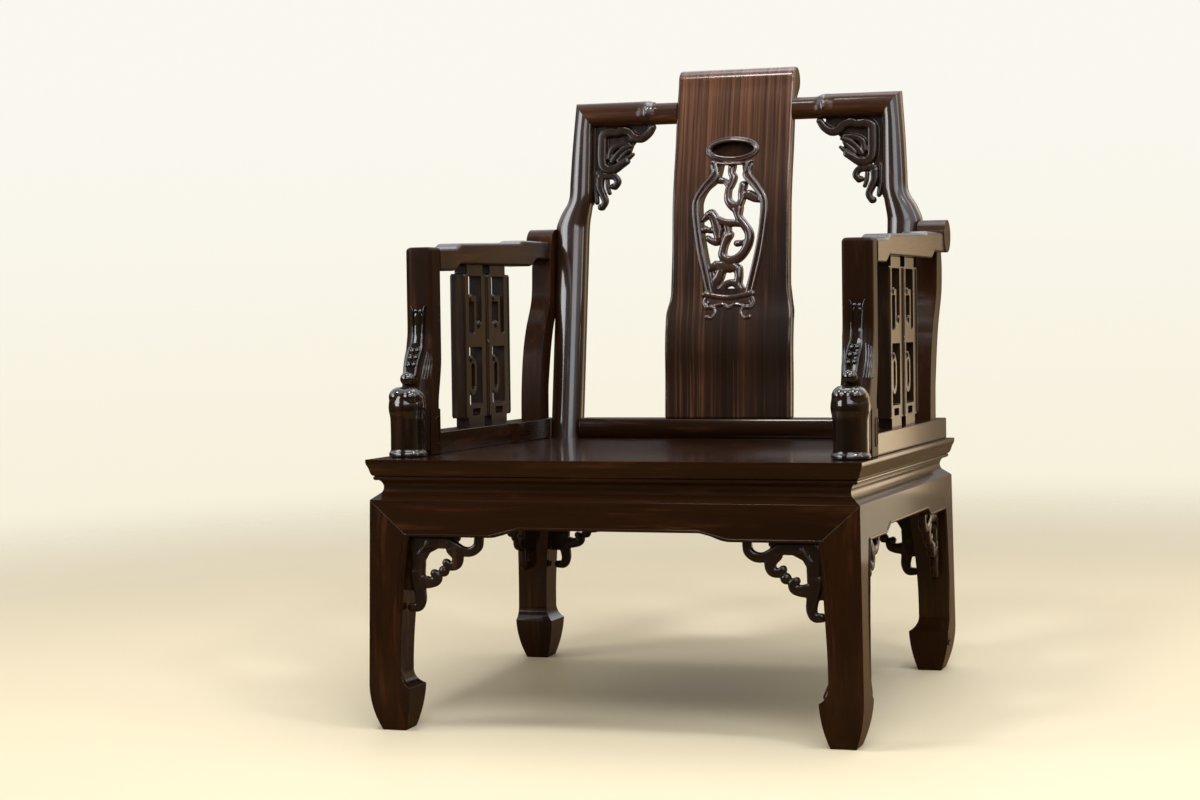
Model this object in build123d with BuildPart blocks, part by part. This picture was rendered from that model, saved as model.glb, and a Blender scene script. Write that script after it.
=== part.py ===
"""Carved hardwood armchair with a square framed back, a scrolled splat and hoof feet.

The chair is drawn square to its seat: +Y to the back, +Z up and +X to the right of someone who faces
the chair, with the front edge of the seat on Y = 0. Left and right in the names are that person's too.
Each finished piece is then leaned back by the rake of the seat and set over the origin. All sizes are in
millimetres.
"""

from build123d import *
from math import cos, radians, sin, tan
import os

# ---------------------------------------------------------------- driving dimensions
SEAT_WIDTH = 700
SEAT_DEPTH = 640
SEAT_HEIGHT = 377
SEAT_RAKE = 2.35
# half way between the front and the back of the leaned chair, which the rolled top of the splat reaches
CHAIR_MIDDLE = 378

RAIL_WIDTH = 75
RAIL_THICKNESS = 23
RAIL_LIP = 4
OGEE_INSET = 8
PANEL_THICKNESS = 12
TONGUE = 6
BATTEN_WIDTH = 32
BATTEN_DEPTH = 20

WAIST_HEIGHT = 23
WAIST_BACK = 30
WAIST_BEAD = 3
COVE_TOP = 14
COVE_DEEPEST = 19
APRON_INSET = 4
APRON_BACK = 28
SHOULDER_DROP = 10
APRON_EDGE = 271
CUSP_RISE = 11
CUSP_START = 0.256
CUSP_RUN = {"front": 46, "back": 46, "left": 30, "right": 30}
SHOULDER_BACK = 17

LEG_TOP = 60
LEG_NARROW = 48
FOOT_HEIGHT = 60
SOLE_NEAR = 14
SOLE_FAR = 49.5
HOOF_TIP = 61
LEG_TENON = (9, 9, 15)
LEG_TENON_NEAR = 36
LEG_TENON_FAR = 50

PLINTH_HEIGHT = 31
ARM_OUTER = 339
POST_WIDTH = 42
POST_FRONT = 120
POST_BACK = 157
POST_TOP = 672
POST_FOOT_BACK = 145
DRUM_RADIUS = 25
DRUM_MIDDLE = 77
POST_TENON = (20, 20, 12)

FRET_OUTER = 329
FRET_THICKNESS = 20
FRET_FRONT = 272
FRET_BACK = 460

SCROLL_INNER = 297
SCROLL_OUTER = 329
SCROLL_ROLL = 25

UPRIGHT_INNER = 245
UPRIGHT_OUTER = 297
UPRIGHT_FOOT = 596
UPRIGHT_DEPTH = 42
UPRIGHT_TENON = (24, 20, 12)
BACK_TOP = 913
TOP_RAIL_HEIGHT = 38
TOP_RAIL_DEPTH = 36

SPLAT_LOWER = 102
SPLAT_UPPER = 95
SPLAT_THICKNESS = 22
SPLAT_ROLL = 21

# ---------------------------------------------------------------- heights worked out from them
SEAT_UNDER = SEAT_HEIGHT - RAIL_THICKNESS
WAIST_UNDER = SEAT_UNDER - WAIST_HEIGHT
SHOULDER = WAIST_UNDER - SHOULDER_DROP
PANEL_UNDER = SEAT_HEIGHT - PANEL_THICKNESS
PLINTH_TOP = SEAT_HEIGHT + PLINTH_HEIGHT

POST_TENON_PLACE = (ARM_OUTER - POST_WIDTH / 2, POST_FOOT_BACK - 22, SEAT_HEIGHT)
UPRIGHT_TENON_PLACE = (
    (UPRIGHT_INNER + UPRIGHT_OUTER) / 2,
    UPRIGHT_FOOT + UPRIGHT_DEPTH / 2,
    SEAT_HEIGHT,
)

FLOOR = Plane(origin=(0, 0, 0), z_dir=(0, -sin(radians(SEAT_RAKE)), cos(radians(SEAT_RAKE))))
STAND = Pos(0, -CHAIR_MIDDLE, 0) * Rot(X=-SEAT_RAKE)

os.makedirs("parts", exist_ok=True)


def save(piece, label):
    """Lean a finished piece back with the seat, set it over the origin and write it."""
    piece.part = STAND * piece.part
    piece.part.label = label
    export_step(piece.part, f"parts/{label}.step")


# ---------------------------------------------------------------- sketch planes
def side_view(x):
    """A sketch plane square to X: x runs to the back of the chair, y runs up, the normal is +X."""
    return Plane(origin=(x, 0, 0), x_dir=(0, 1, 0), z_dir=(1, 0, 0))


def front_view(y):
    """A sketch plane square to Y: x is the chair's X, y runs up, the normal faces the front."""
    return Plane(origin=(0, y, 0), x_dir=(1, 0, 0), z_dir=(0, -1, 0))


# ---------------------------------------------------------------- the four sides of the seat
class Side:
    """One side of the rectangular base: where it starts, which way it runs and which way is inward."""

    def __init__(self, name, start, along, inward, length):
        self.name = name
        self.start = Vector(*start)
        self.along = Vector(*along)
        self.inward = Vector(*inward)
        self.length = length
        self.end = self.start + self.along * length
        # section: x is the distance inward from the outer edge, y is the height
        self.section = Plane(origin=self.start, x_dir=self.inward, z_dir=self.along)
        # face: x runs along the side, y is the height, and the normal points outward
        self.face = Plane(origin=self.start, x_dir=self.along, z_dir=self.inward * -1)
        self.mitre_start = Plane(origin=self.start, z_dir=self.along - self.inward)
        self.mitre_end = Plane(origin=self.end, z_dir=self.along * -1 - self.inward)


HALF = SEAT_WIDTH / 2
SIDES = [
    Side("front", (-HALF, 0, 0), (1, 0, 0), (0, 1, 0), SEAT_WIDTH),
    Side("right", (HALF, 0, 0), (0, 1, 0), (-1, 0, 0), SEAT_DEPTH),
    Side("back", (HALF, SEAT_DEPTH, 0), (-1, 0, 0), (0, -1, 0), SEAT_WIDTH),
    Side("left", (-HALF, SEAT_DEPTH, 0), (0, -1, 0), (1, 0, 0), SEAT_DEPTH),
]


# ---------------------------------------------------------------- seat frame, panel and battens
def seat_rail(side):
    """A mitred frame member with an ogee outer edge and a groove for the panel."""
    groove = TONGUE + 1
    with BuildPart() as rail:
        with BuildSketch(side.section):
            with BuildLine():
                lip = Line((0, SEAT_HEIGHT), (0, SEAT_HEIGHT - RAIL_LIP))
                ogee = Spline(
                    lip @ 1, (3, SEAT_HEIGHT - 12), (OGEE_INSET, SEAT_UNDER), tangents=[(0.1, -1), (1, -0.6)]
                )
                Polyline(
                    ogee @ 1,
                    (RAIL_WIDTH, SEAT_UNDER),
                    (RAIL_WIDTH, PANEL_UNDER),
                    (RAIL_WIDTH - groove, PANEL_UNDER),
                    (RAIL_WIDTH - groove, PANEL_UNDER + TONGUE),
                    (RAIL_WIDTH, PANEL_UNDER + TONGUE),
                    (RAIL_WIDTH, SEAT_HEIGHT),
                    lip @ 0,
                )
            make_face()
        extrude(amount=side.length)
        split(bisect_by=side.mitre_start, keep=Keep.TOP)
        split(bisect_by=side.mitre_end, keep=Keep.TOP)
    return rail


CORNERS = {(-1, -1): "front_left", (1, -1): "front_right", (-1, 1): "back_left", (1, 1): "back_right"}
MIDDLE_Y = SEAT_DEPTH / 2
BATTEN_X = SEAT_WIDTH / 6
BATTEN_LENGTH = SEAT_DEPTH - 2 * RAIL_WIDTH
BATTEN_TENONS = (14, BATTEN_LENGTH + 24, 8)
BATTEN_TENON_HEIGHT = PANEL_UNDER - 6


def corner_point(corner, p, q, z):
    """The point p in from the outer side face and q in from the outer front or back face of a corner."""
    return (corner[0] * (HALF - p), MIDDLE_Y + corner[1] * (MIDDLE_Y - q), z)


for side in SIDES:
    rail = seat_rail(side)
    with rail:
        # mortises for the leg tenons, which stop short of the top
        for corner in CORNERS:
            inset = (LEG_TENON_FAR, LEG_TENON_NEAR)
            if side.name in ("left", "right"):
                inset = (LEG_TENON_NEAR, LEG_TENON_FAR)
            with Locations(corner_point(corner, *inset, SEAT_UNDER + LEG_TENON[2] / 2)):
                Box(*LEG_TENON, mode=Mode.SUBTRACT)
        # mortises for the feet of the arm posts and the back uprights
        for sx in (-1, 1):
            for tenon, (x, y, z) in ((POST_TENON, POST_TENON_PLACE), (UPRIGHT_TENON, UPRIGHT_TENON_PLACE)):
                with Locations((sx * x, y, z)):
                    Box(tenon[0], tenon[1], 2 * tenon[2], mode=Mode.SUBTRACT)
        # mortises for the batten tenons
        for sx in (-1, 1):
            with Locations((sx * BATTEN_X, MIDDLE_Y, BATTEN_TENON_HEIGHT)):
                Box(*BATTEN_TENONS, mode=Mode.SUBTRACT)
    save(rail, f"seat_rail_{side.name}")

with BuildPart() as seat_panel:
    with BuildSketch(Plane.XY.offset(PANEL_UNDER)):
        with Locations((0, MIDDLE_Y)):
            Rectangle(SEAT_WIDTH - 2 * RAIL_WIDTH, SEAT_DEPTH - 2 * RAIL_WIDTH)
    extrude(amount=PANEL_THICKNESS)
    with BuildSketch(Plane.XY.offset(PANEL_UNDER)):
        with Locations((0, MIDDLE_Y)):
            Rectangle(SEAT_WIDTH - 2 * RAIL_WIDTH + 2 * TONGUE, SEAT_DEPTH - 2 * RAIL_WIDTH + 2 * TONGUE)
    extrude(amount=TONGUE)
save(seat_panel, "seat_panel")

for sx, name in ((-1, "left"), (1, "right")):
    with BuildPart() as batten:
        with Locations((sx * BATTEN_X, MIDDLE_Y, PANEL_UNDER - BATTEN_DEPTH / 2)):
            Box(BATTEN_WIDTH, BATTEN_LENGTH, BATTEN_DEPTH)
        with Locations((sx * BATTEN_X, MIDDLE_Y, BATTEN_TENON_HEIGHT)):
            Box(*BATTEN_TENONS)
    save(batten, f"batten_{name}")


# ---------------------------------------------------------------- waist and aprons
def waist_strip(side):
    """A mitred strip with a bead under the seat frame and a cove below it."""
    bead_middle = OGEE_INSET + WAIST_BEAD
    bead_under = SEAT_UNDER - 2 * WAIST_BEAD
    cove_middle = (WAIST_UNDER + bead_under) / 2
    with BuildPart() as strip:
        with BuildSketch(side.section):
            with BuildLine():
                top = Line((WAIST_BACK, SEAT_UNDER), (bead_middle, SEAT_UNDER))
                nose = ThreePointArc(
                    top @ 1, (OGEE_INSET, SEAT_UNDER - WAIST_BEAD), (bead_middle, bead_under)
                )
                ledge = Line(nose @ 1, (COVE_TOP, bead_under))
                cove = ThreePointArc(ledge @ 1, (COVE_DEEPEST, cove_middle), (SHOULDER_BACK, WAIST_UNDER))
                Polyline(cove @ 1, (WAIST_BACK, WAIST_UNDER), top @ 0)
            make_face()
        extrude(amount=side.length)
        split(bisect_by=side.mitre_start, keep=Keep.TOP)
        split(bisect_by=side.mitre_end, keep=Keep.TOP)
    return strip


def apron(side):
    """A mitred board with a sloped shoulder and a cusped lower edge, lapped over the legs."""
    far = side.length
    run_in = CUSP_START * far
    run_up = run_in + CUSP_RUN[side.name]
    high = APRON_EDGE + CUSP_RISE
    with BuildPart() as board:
        with BuildSketch(side.section):
            with BuildLine():
                Polyline(
                    (APRON_INSET, APRON_EDGE),
                    (APRON_INSET, SHOULDER),
                    (SHOULDER_BACK, WAIST_UNDER),
                    (APRON_BACK, WAIST_UNDER),
                    (APRON_BACK, APRON_EDGE),
                    close=True,
                )
            make_face()
        extrude(amount=side.length)
        split(bisect_by=side.mitre_start, keep=Keep.TOP)
        split(bisect_by=side.mitre_end, keep=Keep.TOP)
        with BuildSketch(side.face):
            with BuildLine():
                Polyline(
                    (LEG_TOP, APRON_EDGE),
                    (APRON_INSET, SHOULDER),
                    (0, SHOULDER),
                    (0, WAIST_UNDER),
                    (far, WAIST_UNDER),
                    (far, SHOULDER),
                    (far - APRON_INSET, SHOULDER),
                    (far - LEG_TOP, APRON_EDGE),
                    (far - run_in, APRON_EDGE),
                )
                Spline(
                    (far - run_in, APRON_EDGE), (far - run_up, high), tangents=[(-1, 0), (-1, 0)]
                )
                Line((far - run_up, high), (run_up, high))
                Spline((run_up, high), (run_in, APRON_EDGE), tangents=[(-1, 0), (-1, 0)])
                Line((run_in, APRON_EDGE), (LEG_TOP, APRON_EDGE))
            make_face()
        extrude(amount=-RAIL_WIDTH, mode=Mode.INTERSECT)
    return board


for side in SIDES:
    save(waist_strip(side), f"waist_{side.name}")
    save(apron(side), f"apron_{side.name}")


# ---------------------------------------------------------------- legs
def leg_outline(inward, floor):
    """The outline of a leg on one face; inward is +1 or -1 along the sketch's x, from the outer edge."""
    foot = floor + FOOT_HEIGHT
    # drawn a little past the floor and cut off level with it afterwards
    sole = floor - 4

    def at(p, z):
        return (inward * p, z)

    with BuildLine() as outline:
        Polyline(
            at(LEG_TOP, SEAT_UNDER),
            at(APRON_INSET, SEAT_UNDER),
            at(APRON_INSET, SHOULDER),
            at(0.5, foot + 8),
        )
        ThreePointArc(at(0.5, foot + 8), at(4.5, foot - 31), at(SOLE_NEAR, floor))
        Polyline(at(SOLE_NEAR, floor), at(SOLE_NEAR, sole), at(SOLE_FAR, sole), at(SOLE_FAR, floor))
        ThreePointArc(at(SOLE_FAR, floor), at(HOOF_TIP - 3.5, foot - 30), at(HOOF_TIP, foot))
        ThreePointArc(at(HOOF_TIP, foot), at(52, foot + 8), at(LEG_NARROW, foot + 24))
        Spline(
            at(LEG_NARROW, foot + 24),
            at(LEG_NARROW + 3, foot + 100),
            at(LEG_TOP, APRON_EDGE),
            tangents=[(0, 1), (inward * 0.12, 1)],
        )
        Line(at(LEG_TOP, APRON_EDGE), at(LEG_TOP, SEAT_UNDER))
    return outline


def leg(corner):
    """A hoof-footed leg with mitred shoulders, a core behind the apron and waist, and two tenons."""
    sx, sy = corner
    outer_y = MIDDLE_Y + sy * MIDDLE_Y
    floor = (outer_y - sy * (SOLE_NEAR + SOLE_FAR) / 2) * tan(radians(SEAT_RAKE))
    from_front = Plane(origin=(sx * HALF, outer_y, 0), x_dir=(1, 0, 0), z_dir=(0, -1, 0))
    from_side = Plane(origin=(sx * HALF, outer_y, 0), x_dir=(0, 1, 0), z_dir=(1, 0, 0))
    wedge = [
        (0, SEAT_UNDER),
        (0, SHOULDER),
        (APRON_INSET, SHOULDER),
        (LEG_TOP, APRON_EDGE),
        (LEG_TOP, SEAT_UNDER),
    ]
    with BuildPart() as piece:
        with BuildSketch(from_front):
            add(leg_outline(-sx, floor).line)
            make_face()
        extrude(amount=RAIL_WIDTH, both=True)
        with BuildSketch(from_side):
            add(leg_outline(-sy, floor).line)
            make_face()
        extrude(amount=RAIL_WIDTH, both=True, mode=Mode.INTERSECT)
        # the aprons lap over the leg above the mitre line, as deep as they are thick
        with BuildSketch(from_front):
            with BuildLine():
                Polyline(*[(-sx * p, z) for p, z in wedge], close=True)
            make_face()
        extrude(amount=sy * APRON_BACK, mode=Mode.SUBTRACT)
        with BuildSketch(from_side):
            with BuildLine():
                Polyline(*[(-sy * p, z) for p, z in wedge], close=True)
            make_face()
        extrude(amount=-sx * APRON_BACK, mode=Mode.SUBTRACT)
        # behind the waist the core is a little smaller
        for inset in ((WAIST_BACK / 2, LEG_TOP / 2), (LEG_TOP / 2, WAIST_BACK / 2)):
            with Locations(corner_point(corner, *inset, WAIST_UNDER + WAIST_HEIGHT / 2)):
                Box(2 * inset[0], 2 * inset[1], WAIST_HEIGHT, mode=Mode.SUBTRACT)
        for inset in ((LEG_TENON_FAR, LEG_TENON_NEAR), (LEG_TENON_NEAR, LEG_TENON_FAR)):
            with Locations(corner_point(corner, *inset, SEAT_UNDER + LEG_TENON[2] / 2)):
                Box(*LEG_TENON)
        split(bisect_by=FLOOR, keep=Keep.TOP)
    return piece


LEGS = {corner: leg(corner) for corner in CORNERS}
LEG_SHAPES = {corner: piece.part for corner, piece in LEGS.items()}
for corner, piece in LEGS.items():
    save(piece, f"leg_{CORNERS[corner]}")


# ---------------------------------------------------------------- brackets under the aprons
BRACKET_SETBACK = 14
BRACKET_THICKNESS = 12


def bracket(side, from_start):
    """A pierced cloud-scroll bracket between a leg and an apron, seen from outside its side."""
    leg_edge = LEG_NARROW + 9
    corner_x = leg_edge if from_start else side.length - leg_edge
    way = 1 if from_start else -1

    def at(u, v):
        return (corner_x + way * u, APRON_EDGE - v)

    with BuildPart() as piece:
        with BuildSketch(side.face.offset(-BRACKET_SETBACK)):
            with BuildLine():
                Polyline(at(7, 0), at(76, 0), at(76, 6))
                ThreePointArc(at(76, 6), at(84, 16), at(94, 10))
                ThreePointArc(at(94, 10), at(100, 2), at(107, 10))
                ThreePointArc(at(107, 10), at(103, 24), at(88, 28))
                ThreePointArc(at(88, 28), at(74, 44), at(57, 47))
                ThreePointArc(at(57, 47), at(52, 55), at(45, 58))
                ThreePointArc(at(45, 58), at(36, 72), at(21, 77))
                Line(at(21, 77), at(19, 97))
                ThreePointArc(at(19, 97), at(9, 106), at(-1, 98))
                Polyline(at(-1, 98), at(-12, 80), at(-12, 0), at(7, 0))
            make_face()
            with BuildLine():
                Polyline(at(21, 54), at(19, 30), at(30, 17), at(52, 19))
                ThreePointArc(at(52, 19), at(57, 27), at(48, 32))
                ThreePointArc(at(48, 32), at(42, 44), at(31, 46))
                Line(at(31, 46), at(21, 54))
            make_face(mode=Mode.SUBTRACT)
        extrude(amount=-BRACKET_THICKNESS)
    return piece


# each side has a bracket at its start and one at its end, named after the corner they sit in
BRACKET_ENDS = {
    "front": (("left", (-1, -1)), ("right", (1, -1))),
    "right": (("front", (1, -1)), ("back", (1, 1))),
    "back": (("right", (1, 1)), ("left", (-1, 1))),
    "left": (("back", (-1, 1)), ("front", (-1, -1))),
}

for side in SIDES:
    for from_start, (end, corner) in zip((True, False), BRACKET_ENDS[side.name]):
        piece = bracket(side, from_start)
        with piece:
            # the back of the bracket is scribed to the leg it leans on
            add(LEG_SHAPES[corner], mode=Mode.SUBTRACT)
        save(piece, f"bracket_{side.name}_{end}")


# ---------------------------------------------------------------- plinth rails on the seat
PLINTH_INNER = ARM_OUTER - 39
PLINTH_SWELL = 9
PLINTH_END = 634
PLINTH_BACK_FRONT = 598
SWELL_FROM = 435
SWELL_TO = 455

for sx, name in ((-1, "left"), (1, "right")):
    with BuildPart() as plinth:
        with BuildSketch(Plane.XY.offset(SEAT_HEIGHT)):
            with BuildLine():
                Polyline(
                    (sx * PLINTH_INNER, SWELL_FROM),
                    (sx * PLINTH_INNER, POST_FOOT_BACK),
                    (sx * ARM_OUTER, POST_FOOT_BACK),
                    (sx * ARM_OUTER, PLINTH_END),
                    (sx * PLINTH_INNER, PLINTH_END),
                    (sx * PLINTH_INNER, UPRIGHT_FOOT - 4),
                    (sx * (PLINTH_INNER - PLINTH_SWELL), UPRIGHT_FOOT - 4),
                    (sx * (PLINTH_INNER - PLINTH_SWELL), SWELL_TO),
                )
                Spline(
                    (sx * (PLINTH_INNER - PLINTH_SWELL), SWELL_TO),
                    (sx * PLINTH_INNER, SWELL_FROM),
                    tangents=[(0, -1), (0, -1)],
                )
            make_face()
        extrude(amount=PLINTH_HEIGHT)
    save(plinth, f"plinth_{name}")

SPLAT_FOOT_TENON = (2 * SPLAT_LOWER - 40, 12, 14)
SPLAT_FOOT = 600
with BuildPart() as plinth_back:
    with BuildSketch(side_view(-UPRIGHT_INNER)):
        with BuildLine():
            front = ThreePointArc(
                (PLINTH_BACK_FRONT + 3, SEAT_HEIGHT),
                (PLINTH_BACK_FRONT - 2, SEAT_HEIGHT + 12),
                (PLINTH_BACK_FRONT + 4, PLINTH_TOP),
            )
            Polyline(front @ 1, (PLINTH_END, PLINTH_TOP), (PLINTH_END, SEAT_HEIGHT), front @ 0)
        make_face()
    extrude(amount=2 * UPRIGHT_INNER)
    with Locations((0, SPLAT_FOOT + SPLAT_THICKNESS / 2, PLINTH_TOP)):
        Box(*SPLAT_FOOT_TENON, mode=Mode.SUBTRACT)
save(plinth_back, "plinth_back")


# ---------------------------------------------------------------- front arm posts
BEAD_TOP = 550
BEAD_UNDER = 500
CUSHION_TOP = 478
CUSHION_MIDDLE = 463
CUSHION_UNDER = 450
DRUM_TOP = 443
BASE_RING = 7
CONSOLE_FRONT = 78
BALL_MIDDLE = (90, 487)
BALL_RADIUS = 10
STRAP_UNDER = 520
STRAP_TOP = 575
CROWN_TOP = 587
ARM_TENON = (14, 16, 16)
ARM_TENON_HEIGHT = 655


def arm_post(sx):
    """A square post that bows forward into a carved console: ball, cushion and drum."""
    inner = sx * (ARM_OUTER - POST_WIDTH)
    middle = sx * (ARM_OUTER - POST_WIDTH / 2)
    with BuildPart() as post:
        with BuildSketch(side_view(inner)):
            with BuildLine():
                Line((POST_FRONT, POST_TOP), (POST_FRONT, BEAD_TOP))
                Spline(
                    (POST_FRONT, BEAD_TOP),
                    (104, BEAD_UNDER),
                    (CONSOLE_FRONT, CUSHION_UNDER),
                    tangents=[(0, -1), (-0.3, -1)],
                )
                Polyline(
                    (CONSOLE_FRONT, CUSHION_UNDER),
                    (CONSOLE_FRONT, SEAT_HEIGHT),
                    (POST_FOOT_BACK, SEAT_HEIGHT),
                    (POST_FOOT_BACK, DRUM_TOP),
                )
                Spline((POST_FOOT_BACK, DRUM_TOP), (POST_BACK, BEAD_UNDER + 10), tangents=[(0, 1), (0, 1)])
                Polyline((POST_BACK, BEAD_UNDER + 10), (POST_BACK, POST_TOP), (POST_FRONT, POST_TOP))
            make_face()
        extrude(amount=sx * POST_WIDTH)
        # the turned console: base ring, drum, collar and cushion
        with BuildSketch(Plane(origin=(middle, DRUM_MIDDLE, 0), x_dir=(1, 0, 0), z_dir=(0, -1, 0))):
            with BuildLine():
                Polyline(
                    (0, CUSHION_TOP),
                    (0, SEAT_HEIGHT),
                    (DRUM_RADIUS + 2, SEAT_HEIGHT),
                    (DRUM_RADIUS + 2, SEAT_HEIGHT + BASE_RING),
                    (DRUM_RADIUS, SEAT_HEIGHT + BASE_RING + 3),
                    (DRUM_RADIUS, DRUM_TOP),
                )
                ThreePointArc(
                    (DRUM_RADIUS, DRUM_TOP),
                    (DRUM_RADIUS + 2, (DRUM_TOP + CUSHION_UNDER) / 2),
                    (DRUM_RADIUS, CUSHION_UNDER),
                )
                ThreePointArc(
                    (DRUM_RADIUS, CUSHION_UNDER),
                    (DRUM_RADIUS + 2, CUSHION_MIDDLE),
                    (14, CUSHION_TOP),
                )
                Line((14, CUSHION_TOP), (0, CUSHION_TOP))
            make_face()
        revolve(axis=Axis((middle, DRUM_MIDDLE, 0), (0, 0, 1)))
        with Locations((middle, *BALL_MIDDLE)):
            Sphere(BALL_RADIUS)
        # the carved strap and its crown
        with BuildSketch(front_view(POST_FRONT)):
            with BuildLine():
                Polyline(
                    (middle - 5.5, STRAP_UNDER),
                    (middle + 5.5, STRAP_UNDER),
                    (middle + 7, STRAP_TOP),
                    (middle + 8, CROWN_TOP - 2),
                    (middle + 3, CROWN_TOP - 7),
                    (middle, CROWN_TOP),
                    (middle - 3, CROWN_TOP - 7),
                    (middle - 8, CROWN_TOP - 2),
                    (middle - 7, STRAP_TOP),
                    close=True,
                )
            make_face()
        extrude(amount=2.5)
        with Locations((sx * POST_TENON_PLACE[0], POST_TENON_PLACE[1], SEAT_HEIGHT - POST_TENON[2] / 2)):
            Box(*POST_TENON)
        with Locations((middle, POST_BACK - ARM_TENON[1] / 2, ARM_TENON_HEIGHT)):
            Box(*ARM_TENON, mode=Mode.SUBTRACT)
    return post


# ---------------------------------------------------------------- arm rails
ARM_INNER = ARM_OUTER - POST_WIDTH + 1
ARM_END = 640
ARM_UNDER = 639
FRET_TOP = 650
SCROLL_UNDER = 661
ARM_STEPS = (674, 681, 687, 691)
# where the steps of the top and of the underside begin and end, from the front of the seat
TOP_STEPS = (222, 248, 458, 482)
UNDER_STEPS = (213, 245, 534, 564)


def arm_rail(sx):
    """A straight rail that steps up twice, tenoned into the post, ending against the arm scroll."""
    with BuildPart() as rail:
        with BuildSketch(side_view(sx * ARM_INNER)):
            with BuildLine():
                Polyline((POST_BACK, POST_TOP), (POST_BACK, ARM_UNDER), (UNDER_STEPS[0], ARM_UNDER))
                Spline((UNDER_STEPS[0], ARM_UNDER), (UNDER_STEPS[1], FRET_TOP), tangents=[(1, 0), (1, 0)])
                Line((UNDER_STEPS[1], FRET_TOP), (UNDER_STEPS[2], FRET_TOP))
                Spline((UNDER_STEPS[2], FRET_TOP), (UNDER_STEPS[3], SCROLL_UNDER), tangents=[(1, 0), (1, 0)])
                Polyline(
                    (UNDER_STEPS[3], SCROLL_UNDER),
                    (ARM_END - 5, SCROLL_UNDER),
                    (ARM_END, ARM_STEPS[3]),
                    (TOP_STEPS[3], ARM_STEPS[3]),
                )
                Spline((TOP_STEPS[3], ARM_STEPS[3]), (TOP_STEPS[2], ARM_STEPS[2]), tangents=[(-1, 0), (-1, 0)])
                Line((TOP_STEPS[2], ARM_STEPS[2]), (TOP_STEPS[1], ARM_STEPS[1]))
                Spline((TOP_STEPS[1], ARM_STEPS[1]), (TOP_STEPS[0], ARM_STEPS[0]), tangents=[(-1, 0), (-1, 0)])
                Line((TOP_STEPS[0], ARM_STEPS[0]), (POST_BACK, POST_TOP))
            make_face()
        extrude(amount=sx * (ARM_OUTER - ARM_INNER))
        with Locations((sx * (ARM_OUTER - POST_WIDTH / 2), POST_BACK - ARM_TENON[1] / 2, ARM_TENON_HEIGHT)):
            Box(*ARM_TENON)
    return rail


# ---------------------------------------------------------------- pierced panels under the arms
FRET_HALF = (FRET_BACK - FRET_FRONT) / 2
FRET_MIDDLE = (FRET_BACK + FRET_FRONT) / 2
FRET_NECK = 14
FRET_NOTCH = 15
FRET_GROOVE = 3
CELL_WIDTH = 52
UPPER_CELL = (547, 633)
LOWER_CELL = (440, 527)
FOOT_CELL = (425, 435)
HOOK_TOP = 604
HOOK_BAND = 9
BLOCK_HEIGHT = 15
RING_HEIGHT = 56
RING_WIDTH = 30
RING_MIDDLE = 483


def arm_fret(sx):
    """A board pierced as two columns of cells, with a stepped neck at the head and foot of each."""
    with BuildPart() as fret:
        with BuildSketch(side_view(sx * (FRET_OUTER - FRET_THICKNESS))):
            with Locations((FRET_MIDDLE, (PLINTH_TOP + FRET_TOP) / 2)):
                Rectangle(2 * FRET_HALF, FRET_TOP - PLINTH_TOP - 2 * FRET_NECK)
            for way in (-1, 1):
                column = FRET_MIDDLE + way * FRET_HALF / 2
                near = column - CELL_WIDTH / 2
                with Locations((column, (PLINTH_TOP + FRET_TOP) / 2)):
                    Rectangle(FRET_HALF - 2 * FRET_NOTCH, FRET_TOP - PLINTH_TOP)
                for low, high in (UPPER_CELL, LOWER_CELL):
                    with Locations((column, (low + high) / 2)):
                        Rectangle(CELL_WIDTH, high - low, mode=Mode.SUBTRACT)
                with Locations((column, sum(FOOT_CELL) / 2)):
                    Rectangle(CELL_WIDTH - 20, FOOT_CELL[1] - FOOT_CELL[0], mode=Mode.SUBTRACT)
                # a hook that comes out of the front bar, and the block it ends on beside the middle
                stem = column + 3 + way * 3
                hook_reach = stem + HOOK_BAND / 2 - near
                with Locations((near + hook_reach / 2, HOOK_TOP - HOOK_BAND / 2)):
                    Rectangle(hook_reach, HOOK_BAND)
                with Locations((stem, (UPPER_CELL[0] + HOOK_TOP) / 2)):
                    Rectangle(HOOK_BAND, HOOK_TOP - UPPER_CELL[0])
                block_end = column - way * CELL_WIDTH / 2
                with Locations(((stem + block_end) / 2, UPPER_CELL[0] + BLOCK_HEIGHT / 2)):
                    Rectangle(abs(stem - block_end), BLOCK_HEIGHT)
                # an oval ring that hangs on the front bar
                ring = near + RING_WIDTH / 2 - 1
                with Locations((ring, RING_MIDDLE)):
                    SlotOverall(RING_HEIGHT, RING_WIDTH, rotation=90)
                    SlotOverall(RING_HEIGHT - 16, RING_WIDTH - 16, rotation=90, mode=Mode.SUBTRACT)
        extrude(amount=sx * FRET_THICKNESS)
        # a groove down both faces parts the two columns
        for face in (FRET_OUTER - FRET_THICKNESS, FRET_OUTER):
            with Locations((sx * face, FRET_MIDDLE, (PLINTH_TOP + FRET_TOP) / 2)):
                Box(2 * FRET_GROOVE, FRET_GROOVE, FRET_TOP - PLINTH_TOP, mode=Mode.SUBTRACT)
    return fret


# ---------------------------------------------------------------- arm scrolls
SCROLL_DEPTH = 40
SCROLL_TOP = (650, 686)
ROLL_OUTER = SCROLL_OUTER + 11


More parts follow.
